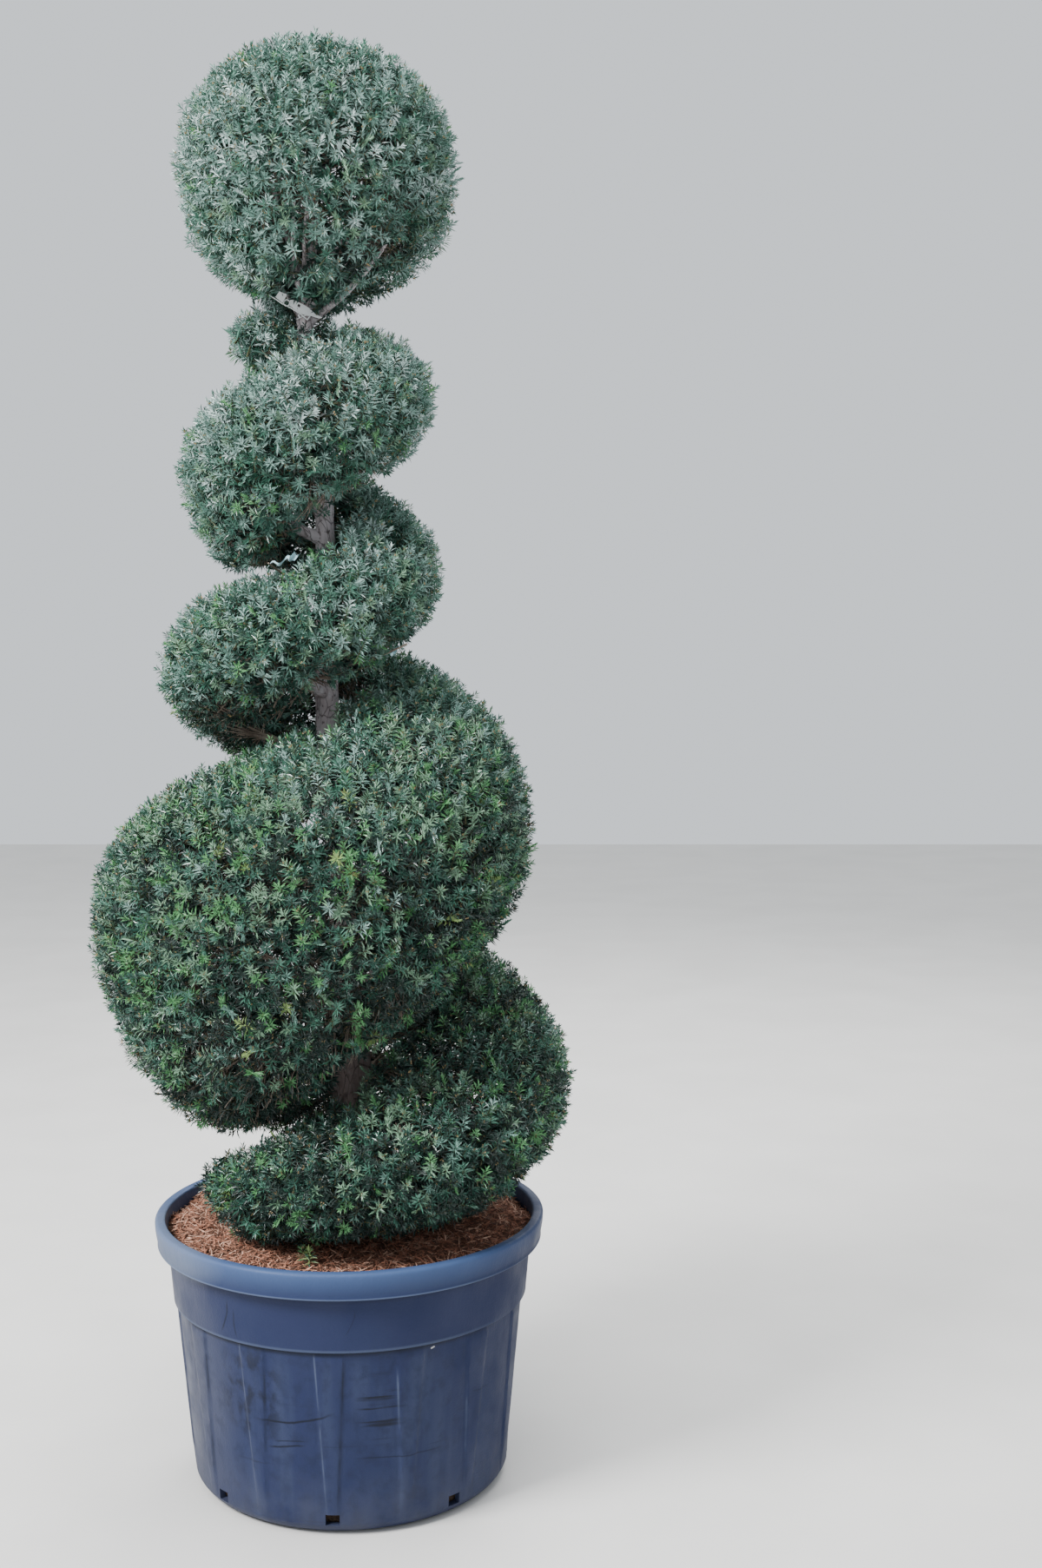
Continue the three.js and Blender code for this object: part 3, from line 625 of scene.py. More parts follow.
def rib_edge_group():
    """A mask of thin lines along one side of every rib, for painted shade and painted highlights: side
    1 is the right, seen from outside.
    """
    group = mask_group("rib_edges", Side=1.0, Line=0.0015)
    place = group.place()
    aside, half, phase, level, *_ = rib_reach(
        place, math.radians(FIRST_DRAIN), float(RIBS), RIB_FOOT, RIB_HEAD,
        RIB_FOOT_WIDTH, RIB_HEAD_WIDTH)
    line = (aside - half).then("ABSOLUTE").ranged(group["Line"], 0.0)
    sided = (phase.then("SINE") * group["Side"]).then("GREATER_THAN", 0.0)
    below = level.then("LESS_THAN", RIB_HEAD + 0.002)
    above = level.ranged(RIB_FOOT + 0.01, RIB_FOOT + 0.09)
    # The lines break up in patches.
    broken_up = group.noise(place, 12.0, 4.0).ranged(0.42, 0.60)
    return group.done(line * sided * below * above * broken_up)


def mark_group():
    """A long bowed mark on the front of the wall that thins out at its ends."""
    group = mask_group("long_mark", Middle=(0, 0, 0), Turn=0.0, Length=0.05, Width=0.0015, Bow=0.0)
    place = group.place()
    turned = group.add("ShaderNodeVectorRotate", Vector=place, Center=group["Middle"],
                       Angle=group["Turn"], rotation_type="Y_AXIS")
    x, y, z = (turned - group["Middle"]).parts()
    wobble = (group.noise(place, 26.0, 3.0) - 0.5) * 0.008
    off = (z + wobble - x * x * group["Bow"]).then("ABSOLUTE")
    ends = x.then("ABSOLUTE").ranged(group["Length"], group["Length"] * 0.6)
    return group.done(off.ranged(group["Width"], 0.0003) * ends * y.then("LESS_THAN", 0.15))


def patch_group():
    """A soft patch round a middle, as wide and tall as its size says."""
    group = mask_group("soft_patch", Middle=(0, 0, 0), Size=(0.05, 0.05, 0.05))
    return group.done(((group.place() - group["Middle"]) / group["Size"]).length().ranged(1.0, 0.5))


GRAIN = grain_group()
SCRATCHES = scratch_group()
RIB_EDGES = rib_edge_group()
LONG_MARK = mark_group()
PATCH = patch_group()


class Finish:
    """A material that is built up from masks over its base colour, roughness and relief."""

    def __init__(self, name, colour, roughness, specular=0.5):
        self.material = bpy.data.materials.new(name)
        self.material.use_nodes = True
        self.nodes = Nodes(self.material.node_tree)
        self.inputs = self.nodes.tree.nodes["Principled BSDF"].inputs
        self.colour = (*colour, 1)
        self.normal = None
        self.inputs["Base Color"].default_value = self.colour
        self.inputs["Roughness"].default_value = roughness
        self.inputs["Specular IOR Level"].default_value = specular

    def feed(self, name, flow):
        """Leads a flow into the shader."""
        self.nodes.tree.links.new(flow.socket, self.inputs[name])

    def mask(self, group, **values):
        """A mask from one of the shared groups."""
        return self.nodes.add("ShaderNodeGroup", node_tree=group.tree, **values)

    def grain(self, scale, detail, low=0.35, high=0.65, stretch=(1, 1, 1)):
        """A mask of soft grain."""
        return self.mask(GRAIN, Stretch=stretch, Scale=scale, Detail=detail, Low=low, High=high)

    def patch(self, middle, size):
        """A mask of one soft patch."""
        return self.mask(PATCH, Middle=middle, Size=size)

    def level(self, low, high):
        """A mask that rises from 0 to 1 between two levels of the object."""
        return self.nodes.place().parts()[2].ranged(low, high)

    def tint(self, mask, colour, strength):
        """Lays a colour over what is there, where the mask is high."""
        unused = [None] * 5
        self.colour = self.nodes.add(
            "ShaderNodeMix", mask * strength, *unused, self.colour, (*colour, 1),
            out=2, data_type="RGBA")
        self.feed("Base Color", self.colour)

    def gloss(self, mask, low, high):
        """Lets the roughness run between two values by a mask."""
        self.feed("Roughness", mask.ranged(0.0, 1.0, low, high))

    def relief(self, mask, strength, distance):
        """Adds fine relief below what the mesh holds."""
        self.normal = self.nodes.add(
            "ShaderNodeBump", Strength=strength, Distance=distance, Height=mask, Normal=self.normal)
        self.feed("Normal", self.normal)


def needle_finish(name, colour, roughness):
    """A waxy finish with a little play in its gloss."""
    made = Finish(name, colour, roughness, 0.65)
    made.gloss(made.grain(60.0, 2.0), roughness - 0.06, roughness + 0.10)
    return made.material


def mottled_finish(
        name, colour, other, roughness, specular, mottles, share, relief, strength, distance):
    """A finish of two tones, mottled by one grain and with the fine relief of another."""
    made = Finish(name, colour, roughness, specular)
    made.tint(made.grain(*mottles), other, share)
    made.relief(made.grain(*relief), strength, distance)
    return made.material


# Dark rubs on the wall's front: middle, turn in degrees, half length, half width, bow and strength.
RUBS = (
    ((-0.073, -0.300, 0.2112), 10.0, 0.074, 0.0031, 2.0, 1.00),
    ((-0.089, -0.290, 0.1632), 8.0, 0.036, 0.0027, 1.0, 0.95),
    ((-0.082, -0.290, 0.1740), 6.0, 0.030, 0.0018, 1.0, 0.70),
    ((0.104, -0.280, 0.1440), -2.0, 0.082, 0.0019, 0.2, 0.60),
    ((0.246, -0.190, 0.2272), -7.0, 0.015, 0.0022, 1.0, 0.80),
    ((-0.194, -0.270, 0.3900), 78.0, 0.034, 0.0022, 4.0, 0.75),
    ((-0.180, -0.280, 0.3800), 96.0, 0.028, 0.0019, -5.0, 0.60),
    ((0.030, -0.330, 0.4000), 70.0, 0.026, 0.0017, 6.0, 0.40),
)


def pot_finish():
    """Slate-blue plastic, mottled and rubbed: painted shade in its steps, on its right and along its
    ribs' right edges, painted highlights on its left, its worn rim and its ribs' left edges, and dust
    with a painted reflection of the floor at the foot.
    """
    made = Finish("slate_plastic", (0.0125, 0.0188, 0.0570), 0.52, 0.16)
    grain = made.grain
    level = made.level
    tint = made.tint
    tint(grain(5.0, 5.0), (0.019, 0.027, 0.069), 0.6)
    # A painted sheen: the wall's left side is paler, as where the light falls on it.
    tint(made.patch((-0.34, -0.12, 0.22), (0.20, 0.34, 0.34)), (0.066, 0.072, 0.098), 0.45)
    # The rim is paler and bluer than the wall: wear, with a painted reflection of the sky.
    tint(level(0.446, 0.500), (0.058, 0.100, 0.215), 0.85)
    on_wall = level(0.36, 0.30)
    tint(grain(22.0, 3.0, 0.50, 0.80, (1, 1, 0.06)) * on_wall, (0.050, 0.064, 0.112), 0.40)
    tint(grain(48.0, 7.0, 0.48, 0.66, (1, 1, 0.8)) * level(0.36, 0.34), (0.009, 0.013, 0.034), 0.40)
    left = made.patch((-0.150, -0.27, 0.255), (0.075, 0.12, 0.115))
    tint(grain(34.0, 8.0, 0.48, 0.60, (1, 1, 0.8)) * left, (0.006, 0.008, 0.017), 0.70)
    middle = made.patch((0.076, -0.30, 0.236), (0.048, 0.12, 0.075))
    tint(grain(24.0, 4.0, 0.52, 0.62, (0.30, 0.30, 5.0)) * middle, (0.006, 0.008, 0.016), 0.90)
    tint(grain(15.0, 5.0, 0.66, 0.74, (0.30, 0.30, 5.0)) * on_wall, (0.009, 0.012, 0.026), 0.50)
    # Painted shade along the ribs' right edges and painted highlights along their left edges, as the
    # light from the left falls on them.
    tint(made.mask(RIB_EDGES, Side=1.0, Line=0.0034), (0.006, 0.008, 0.016), 0.65)
    tint(made.mask(RIB_EDGES, Side=-1.0, Line=0.0024), (0.080, 0.100, 0.155), 0.60)
    # The shadow in the step under the collar, the light on its foot and the shadow under the lip.
    tint(level(0.3345, 0.3420) * level(0.3462, 0.3452), (0.005, 0.007, 0.014), 0.80)
    tint(level(0.3450, 0.3464) * level(0.3520, 0.3490), (0.070, 0.092, 0.150), 0.45)
    tint(level(0.4340, 0.4450) * level(0.4490, 0.4470), (0.006, 0.009, 0.020), 0.55)
    for place, turn, length, width, bow, strength in RUBS:
        rub = made.mask(
            LONG_MARK, Middle=place, Turn=math.radians(turn), Length=length, Width=width, Bow=bow)
        tint(rub, (0.005, 0.007, 0.015), strength)
    speck = made.mask(LONG_MARK, Middle=(0.165, -0.273, 0.336), Turn=0.4, Length=0.004, Width=0.002)
    tint(speck, (0.60, 0.60, 0.60), 0.9)
    # Dust and a painted reflection of the floor at the foot, the light on the lip's edge, painted shade
    # on the pot's right and a painted highlight on the left of its rim.
    tint(grain(14.0, 6.0, 0.35, 0.80) * level(0.13, 0.0), (0.130, 0.135, 0.155), 0.40)
    tint(level(0.4476, 0.4486) * level(0.4522, 0.4506), (0.150, 0.200, 0.310), 0.30)
    tint(made.patch((0.36, -0.05, 0.26), (0.20, 0.45, 0.40)), (0.005, 0.011, 0.046), 0.80)
    tint(made.patch((-0.32, -0.16, 0.48), (0.16, 0.26, 0.06)), (0.150, 0.185, 0.250), 0.45)
    made.gloss(grain(14.0, 6.0), 0.42, 0.60)
    made.relief(grain(260.0, 2.0), 0.25, 0.0006)
    made.relief(grain(18.0, 4.0, stretch=(1, 1, 0.3)), 0.25, 0.003)
    return made.material


def bark_finish():
    """Pale bark in flaking plates, cracked, and darker towards the foot with painted shade."""
    made = Finish("flaking_bark", (0.560, 0.515, 0.535), 0.85, 0.3)
    plates = made.grain(42.0, 6.0, 0.42, 0.60, (1, 1, 0.22))
    made.tint(plates, (0.390, 0.315, 0.320), 0.55)
    made.tint(made.grain(75.0, 4.0, 0.56, 0.68, (1, 1, 0.45)), (0.60, 0.58, 0.60), 0.6)
    made.tint(made.grain(150.0, 3.0, 0.60, 0.68, (1, 1, 0.6)), (0.070, 0.052, 0.048), 0.7)
    # Painted shade: darker below the lower turns, and darkest at the foot.
    made.tint(made.level(1.25, 0.85), (0.165, 0.122, 0.104), 0.80)
    made.tint(made.level(0.66, 0.50), (0.075, 0.052, 0.042), 0.80)
    cracks = made.mask(SCRATCHES, Stretch=(1.0, 1.0, 0.22), Scale=60.0, Width=0.05, Amount=0.62)
    made.tint(cracks, (0.040, 0.028, 0.025), 0.75)
    made.relief(plates, 0.5, 0.002)
    made.relief(made.grain(230.0, 5.0, stretch=(1, 1, 0.3)), 0.4, 0.0012)
    return made.material


def mulch_finish(name, colour, other):
    """Dry bark mulch in one of its tones."""
    return mottled_finish(name, colour, other, 0.9, 0.25, (85.0, 4.0), 0.8, (420.0, 3.0), 0.5, 0.0006)


def film_finish(name, colour, dirt):
    """Plastic film with a little dirt on it."""
    return mottled_finish(
        name, colour, dirt, 0.45, 0.5, (55.0, 5.0, 0.5, 0.8), 0.5, (90.0, 3.0), 0.2, 0.0005)


# The needles' dyes from the darkest to the palest, and three that are dealt out apart from them. The
# ladder is partly real tone and partly painted light: the dark dyes carry painted shade, silver and the
# palest one carry painted highlights and haze, and sage is a greener painted highlight.
NEEDLES = {
    name: needle_finish(name, colour, roughness)
    for name, colour, roughness in (
        ("needle_deep", (0.009, 0.027, 0.021), 0.36),
        ("needle_dark", (0.028, 0.082, 0.061), 0.32),
        ("needle_leaf", (0.056, 0.152, 0.107), 0.30),
        ("needle_grey", (0.114, 0.218, 0.180), 0.30),
        ("needle_silver", (0.205, 0.320, 0.284), 0.34),
        ("needle_painted_haze", (0.370, 0.470, 0.447), 0.38),
        ("needle_fresh", (0.090, 0.250, 0.098), 0.34),
        ("needle_yellow", (0.200, 0.300, 0.100), 0.42),
        ("needle_sage", (0.150, 0.265, 0.172), 0.30),
    )
}
# Where one dye gives way to the next, and the numbers of the first pale one and of the three.
DYE_STEPS = (0.26, 0.54, 0.80, 1.08, 1.42)
PALE_DYE = 3.0
FRESH_DYE = 6.0
YELLOW_DYE = 7.0
SAGE_DYE = 8.0
# How the tones vary from shoot to shoot and from patch to patch, and how the three are dealt out.
TONE_PLAY = 1.26
SUNNY_CALM = 0.75
PATCH_SCALE = 9.0
PATCH_CONTRAST = 0.8
TUFT_SCALE = 16.0
TUFT_SHARES = (0.25, 2.6)
SAGE_SHARE = 3.4
YELLOW_SHARE = 0.05
FOLIAGE = {
    "Shoot_Bark": needle_finish("shoot_bark", (0.085, 0.090, 0.038), 0.60),
    "Bud": needle_finish("bud", (0.360, 0.260, 0.130), 0.60),
    **NEEDLES,
}
BARK = bark_finish()
TWIG_BARK = mottled_finish(
    "twig_bark", (0.170, 0.130, 0.102), (0.350, 0.295, 0.245), 0.8, 0.3,
    (38.0, 3.0), 0.8, (300.0, 3.0, 0.35, 0.65, (1, 1, 0.4)), 0.3, 0.0005)


# Needles: shoots are made once, and dealt out over the clipped surface.

NEEDLE_FACE = 0.0
STEM_FACE = 1.0
BUD_FACE = 2.0
STEM_HALF = 0.0012
SHOOT_LEAN = 0.12
# A bud's half width, its lower and upper point, how far it stands off the stem, and its turn.
BUD_HALF = 0.0016
BUD_FOOT = 0.0015
BUD_TIP = 0.0034
BUD_RING = 0.0022
BUD_TURN = 2.1
# The needles' angles from the stem at its foot and at its tip, and their play, in degrees.
FOOT_SPREAD = 84
TIP_SPREAD = 22
SPREAD_PLAY = 9
# The needles' full size, from where on they get shorter along the stem, over how much of it, and by
# how much.
FULL_SIZE = 1.04
SHORTER_FROM = 0.55
SHORTER_OVER = 0.45
SHORTER_BY = 0.42


def stock(name, pieces):
    """A collection of pieces that are dealt out and don't show themselves."""
    group = bpy.data.collections.new(name)
    for piece in pieces:
        bpy.context.scene.collection.objects.unlink(piece)
        group.objects.link(piece)
    return group


def shoot_mesh(name, random, length, count, ranked, buds):
    """One shoot: a thin stem up +Z with folded needles set round it, or in two ranks."""
    points = []
    faces = []
    kinds = []

    def polygon(kind, *corners):
        first = len(points)
        points.extend(corners)
        for i in range(first + 1, first + len(corners) - 1):
            faces.append((first, i, i + 1))
            kinds.append(kind)

    lean = np.array((*(random.uniform(-SHOOT_LEAN, SHOOT_LEAN) for _ in range(2)), 0.0))

    def on_stem(share):
        return np.array((0, 0, share * length)) + lean * length * share ** 2

    for half in ((STEM_HALF, 0, 0), (0, STEM_HALF, 0)):
        polygon(STEM_FACE, on_stem(0) - half, on_stem(0) + half, on_stem(1))
    for k in range(count):
        share = 0.10 + 0.90 * ((k + 0.5) / count) ** 0.8
        turn = GOLDEN_TURN * k + random.uniform(-0.3, 0.3)
        if ranked:
            turn = math.pi * (k % 2) + random.uniform(-0.5, 0.5)
        spread = FOOT_SPREAD - (FOOT_SPREAD - TIP_SPREAD) * share ** 2.2
        spread = math.radians(spread + random.uniform(-SPREAD_PLAY, SPREAD_PLAY))
        shorter = FULL_SIZE - SHORTER_BY * max(share - SHORTER_FROM, 0) / SHORTER_OVER
        size = NEEDLE_LENGTH * shorter * random.uniform(0.86, 1.12)
        out = np.array((math.cos(turn), math.sin(turn), 0))
        side = np.array((-math.sin(turn), math.cos(turn), 0))
        along = out * math.sin(spread) + np.array((0, 0, math.cos(spread)))
        face = np.cross(along, side)
        roll = random.uniform(-0.6, 0.6)
        wide = (side * math.cos(roll) + face * math.sin(roll)) * NEEDLE_WIDTH * 0.5
        root = on_stem(share)
        droop = face * size * random.uniform(0.0, 0.14)
        middle = root + along * size * 0.5 + face * NEEDLE_FOLD - droop * 0.2
        polygon(NEEDLE_FACE, root, middle - wide, root + along * size - droop, middle + wide)
    for k in range(buds):
        turn = BUD_TURN * k + 1
        at = on_stem(0.98) + np.array((math.cos(turn), math.sin(turn), 0.4 * k)) * BUD_RING
        for half in ((BUD_HALF, 0, 0), (0, BUD_HALF, 0)):
            polygon(BUD_FACE, at - half, at - (0, 0, BUD_FOOT), at + half, at + (0, 0, BUD_TIP))
    made = object_from(name, points, faces)
    give_values(made, "stem", kinds, "FACE")
    return made


def shoots(name, seed, length, *kinds):
    """A stock of shoots: share of the length, number of needles, whether in two ranks, and buds."""
    random = np.random.default_rng(seed)
    return stock(name, [
        shoot_mesh(f"{name}_{k}", random, length * share, *kind)
        for k, (share, *kind) in enumerate(kinds)
    ])


OUTER_SHOOTS = shoots(
    "outer_shoot", 5, STEM_LENGTH,
    (1, 20, False, 0), (0.9, 20, False, 3), (0.8, 19, False, 0), (1, 20, True, 0),
    (0.95, 21, False, 0), (0.9, 18, True, 2), (0.85, 20, False, 0))
INNER_SHOOTS = shoots(
    "inner_shoot", 6, STEM_LENGTH, (1, 14, False, 0), (1.1, 14, False, 0), (1, 13, True, 0))
LEADERS = shoots("leader", 8, LEADER_LENGTH, (1, 38, True, 0), (0.9, 36, False, 2), (0.8, 32, True, 0))


def coat_group():
    """Deals shoots out over a surface, their tips at it, and dyes each by chance and by painted light:
    the sun at its place and its coat's own painted light or shade.
    """
    group = form_group(
        "needle_coat", Shoots="Collection", Spacing=OUTER_SPACING, Depth=0.0, Depth_Scatter=0.01,
        Size=1.0, Upturn=0.5, Scatter=0.5, Reach=SHOOT_REACH, Brightness=0.0, Fresh=0.0, Seed=1,
        **dict.fromkeys(FOLIAGE, "Material"))
    seed = group["Seed"]
    spacing = group["Spacing"]
    dealt = group.add(
        "GeometryNodeDistributePointsOnFaces", group["Geometry"], Distance_Min=spacing,
        Density_Max=TRIED_SHOOTS / (spacing * spacing), Density_Factor=group.stored("cover"), Seed=seed,
        distribute_method="POISSON")
    outward = dealt.also("Normal")
    strewn = group.add(
        "FunctionNodeRandomValue", (-1, -1, -1), (1, 1, 1), Seed=seed + 11.0, data_type="FLOAT_VECTOR")
    leaning = group.stored("growth", "FLOAT_VECTOR") + group.scaled((0, 0, 1), group["Upturn"])
    aim = (leaning + group.scaled(strewn, group["Scatter"])).then("NORMALIZE")
    lacking = (LEAST_FACING - aim.then("DOT_PRODUCT", outward, out="Value")).then("MAXIMUM", 0.0)
    along = (aim + group.scaled(outward, lacking * FACING_PUSH)).then("NORMALIZE")
    size = group.chance(0.82, 1.16, seed + 21.0) * group["Size"]
    sunk = group["Depth"] + group.chance(-1.0, 1.0, seed + 31.0) * group["Depth_Scatter"]
    back = group.scaled(along, size * group["Reach"]) + group.scaled(outward, sunk)
    placed = group.add("GeometryNodeSetPosition", dealt, Offset=back * (-1, -1, -1))
    aimed = group.add("FunctionNodeAlignRotationToVector", Vector=along, axis="Z")
    spin = group.add("ShaderNodeCombineXYZ", Z=group.chance(0.0, 2 * math.pi, seed + 41.0))
    turned_shoot = group.add("FunctionNodeRotateRotation", aimed, spin, rotation_space="LOCAL")

    place = group.add("GeometryNodeInputPosition")
    # Each shoot's dye follows painted light, from the sun at its place and the coat's brightness, with
    # play from shoot to shoot and from patch to patch.
    sun = group.stored("sun")
    patchy = (group.noise(place, PATCH_SCALE, 2.0) - 0.5) * PATCH_CONTRAST
    play = group.chance(-0.5, 0.5, seed + 61.0) * (TONE_PLAY - sun.then("MAXIMUM", 0.0) * SUNNY_CALM)
    bright = play + 0.5 + patchy + group["Brightness"] + sun
    dye = 0.0
    for least in DYE_STEPS:
        dye = bright.then("GREATER_THAN", least) + dye

    def repaint(dye, share, other, offset):
        chosen = share.then("GREATER_THAN", group.chance(0.0, 1.0, seed + offset))
        return dye + chosen * (other - dye)

    fresh = group.stored("fresh")
    pale = dye.then("GREATER_THAN", PALE_DYE - 0.5)
    dye = repaint(dye, pale * (fresh * SAGE_SHARE), SAGE_DYE, 91.0)
    tufted = group.noise(place, TUFT_SCALE, 1.0).ranged(0.52, 0.68, *TUFT_SHARES)
    fresh = fresh * group["Fresh"] * tufted
    dye = repaint(dye, fresh, FRESH_DYE, 71.0)
    dye = repaint(dye, fresh * YELLOW_SHARE, YELLOW_DYE, 81.0)

    real = group.dealt_out("Shoots", placed, seed + 51.0, turned_shoot, size, dye)
    dye_of = group.stored("dye")
    stem_of = group.stored("stem")
    for k, name in enumerate(NEEDLES):
        real = group.dressed(real, dye_of.then("COMPARE", float(k), 0.4), name)
    for name, kind in (("Shoot_Bark", STEM_FACE), ("Bud", BUD_FACE)):
        real = group.dressed(real, stem_of.then("GREATER_THAN", kind - 0.5), name)
    return group.done(real)


COAT = coat_group()
# The coats: how much more than the surface's own cover, whether only on open sides, and sizes. The
# deeper coats are dyed darker, as painted shade.
COATS = (
    (0.0, False, dict(
        Shoots=OUTER_SHOOTS, Spacing=OUTER_SPACING, Depth=0.0065, Depth_Scatter=0.007,
        Upturn=0.40, Scatter=0.50, Brightness=0.08, Fresh=1.0)),
    (0.10, False, dict(
        Shoots=OUTER_SHOOTS, Spacing=UNDER_SPACING, Depth=0.020, Depth_Scatter=0.007,
        Size=1.12, Upturn=0.30, Scatter=0.75, Brightness=-0.20, Fresh=0.4)),
    (0.15, False, dict(
        Shoots=INNER_SHOOTS, Spacing=INNER_SPACING, Depth=0.040, Depth_Scatter=0.012,
        Size=1.75, Upturn=0.2, Scatter=1.0, Brightness=-0.62)),
    (0.0, True, dict(
        Shoots=LEADERS, Spacing=LEADER_SPACING, Depth=0.002, Depth_Scatter=0.006,
        Upturn=1.4, Scatter=0.35, Reach=LEADER_LENGTH + 0.009, Brightness=-0.05, Fresh=2.0)),
)


def units(vectors):
    """The vectors, each made one unit long."""
    return vectors / (np.linalg.norm(vectors, axis=-1, keepdims=True) + 1e-12)


def tones(points):
    """How sunlit and how fresh the needles are at each point's level."""
    return [np.interp(points[:, 2], TONE_LEVELS, values) for values in (TONE_SUN, TONE_FRESH)]


def surface_object(name, points, faces, cover, sun, fresh, roots, slope):
    """A clipped surface with how fully each place is clad, its painted sunlight and freshness, and
    where its shoots point.
    """
    made = object_from(name, points, faces)
    normals = np.zeros(points.size)
    made.data.vertices.foreach_get("normal", normals)
    normals = normals.reshape(-1, 3)
    points = points + normals * (CLIP_LUMPS * (2 * lumps(points * 8.0, 2) - 1))[:, None]
    made.data.vertices.foreach_set("co", points.ravel())
    outward = np.interp(slope, (-80, -45, -15), (0.25, 0.55, 1.0))[:, None]
    give_values(made, "cover", cover)
    give_values(made, "sun", sun)
    give_values(made, "fresh", fresh)
    give_values(made, "open", np.interp(slope, (-12, 10, 55, 74), (0, 1, 1, 0)))
    give_values(made, "growth", units(outward * normals + (1 - outward) * units(points - roots)))
    return made


def kept_foliage(points):
    """What share of the foliage stays, by whether it hides one of the gaps from the camera."""
    camera = np.array(CAMERA_PLACE)
    stretch = -camera[1] / (points[:, 1] - camera[1])
    seen = camera[[0, 2]] + (points[:, [0, 2]] - camera[[0, 2]]) * stretch[:, None]
    kept = np.ones(len(points))
    for first, last, half, front, share in CLEARINGS:
        way = np.array(last) - first
        along = np.clip((seen - first) @ way / (way @ way), 0, 1)
        aside = np.linalg.norm(seen - first - along[:, None] * way, axis=1)
        kept = np.where((aside < half) & (points[:, 1] < front), np.minimum(kept, share), kept)
    return kept


def spiral_cover(turn, slope, points):
    """How fully the clipped surface is clad: thin below and by the trunk, with a few small holes.

    The undersides are barest on the left as seen from the front, from the second turn up.
    """
    under = np.interp(slope, (-90, -68, -48, -25, 60, 84), (0.35, 0.52, 0.82, 1.0, 1.0, 0.80))
    full = (turn > LOBE_TURN) | ((turn > CREST_TURN) & (slope > 0))
    under = np.where(full, np.maximum(under, 0.9), under)
    holes = np.interp(lumps(points * 17.0, 3), (0.08, 0.18), (0.2, 1.0))
    bare = np.clip(np.cos(np.radians(turn - BARE_TURN)), 0, 1) ** 1.2
    bare = bare * np.interp(turn, (430, 520, 650, 700), (0.0, 0.9, 1.0, 1.5))
    bare = bare * np.interp(lumps(points * 7.0, 23), (0.25, 0.60), (0.35, 1.0))
    bare = bare * np.interp(slope, (-90, -60, -32, -8), (1.0, 1.0, 0.75, 0.0))
    bare = np.where(turn > LOBE_TURN, 0.0, bare)
    return under * holes * (1 - 0.36 * bare) * kept_foliage(points)


def spiral_surface(number):
    """The clipped surface of one mass, closed by a round cap at either end of the spiral."""
    slopes = np.linspace(*SURFACE_SLOPES)
    rows = [(turn, 1.0) for turn in np.linspace(*mass_turns(number), SURFACE_TURNS)]
    for share in CAP_SHARES:
        shrink = math.sqrt(1 - share ** 2)
        if number == 0:
            rows.insert(0, (SPIRAL_START - CAP_BULGE * share, shrink))
        if number == TURN_MASSES - 1:
            rows.append((SPIRAL_END + END_BULGE * share, shrink))
    turns, shrinks = np.array(rows).T
    turn, slope = crossed(turns, slopes)
    shape = section(turn, np.repeat(shrinks, len(slopes)))
    points = departed(on_section(shape, turn, slope), turn, slope)
    sun, fresh = tones(points)
    sun += np.interp(slope, (-60, 0, 60), (-0.25, 0.0, 0.08))
    sun += np.interp(turn, (1560, 1640), (0.0, 0.16))
    roots = trunk_middle(shape[4] + 0.1 * (shape[2] - shape[4]))
    return surface_object("surface", points, grid_faces(len(turns), len(slopes), False),
                          spiral_cover(turn, slope, points), sun, fresh, roots, slope)


def ball_surface():
    """The ball's clipped surface, down to the neck, thinner below on its right."""
    slopes = np.degrees(np.arcsin(np.linspace(*BALL_HEIGHTS)))
    turns = np.linspace(0, 360, BALL_TURNS + 1)[:-1]
    slope, turn = crossed(slopes, turns)
    points = on_ball(turn, slope, 0.0)
    under = np.interp(slope, (-84, -58, -38, -15), (1.0, 0.80, 0.85, 1.0))
    right = np.clip(np.cos(np.radians(turn - 345)), 0, 1) * np.interp(slope, (-60, -30, 5), (1, 1, 0))
    holes = np.interp(lumps(points * 24.0, 9) - 0.45 * right, (-0.15, 0.02), (0.0, 1.0))
    cover = under * (1 - 0.50 * right) * holes * kept_foliage(points)
    sun, fresh = tones(points)
    sun += np.interp(slope, (-60, -10, 25, 70), (-0.22, -0.03, -0.08, -0.26))
    sun -= np.interp(points[:, 0] - BALL_MIDDLE[0], (-0.22, -0.08, 0.10), (-0.16, 0.0, 0.02))
    return surface_object("surface", points, grid_faces(len(slopes), len(turns), True),
                          cover, sun, fresh, trunk_middle(BALL_FORK), slope)


def clad(surface, name, seed):
    """Replaces a clipped surface by its needles: two full coats, the second a little darker with
    painted shade, an inner one dark with painted shade, and some leaders.
    """
    cover, opened = np.zeros((2, len(surface.data.vertices)), np.float32)
    surface.data.attributes["cover"].data.foreach_get("value", cover)
    surface.data.attributes["open"].data.foreach_get("value", opened)
    coats = []
    for k, (more, on_open, values) in enumerate(COATS):
        coat = surface.copy()
        coat.data = surface.data.copy()
        bpy.context.scene.collection.objects.link(coat)
        covered = np.clip(cover + more * (cover > 0.02), 0, 1) * (opened if on_open else 1)
        coat.data.attributes["cover"].data.foreach_set("value", covered)
        coats.append(grow(coat, COAT, Seed=seed + 500 * k, **values, **FOLIAGE))
    bpy.data.objects.remove(surface)
    return joined(name, coats)


# Limbs and twigs.

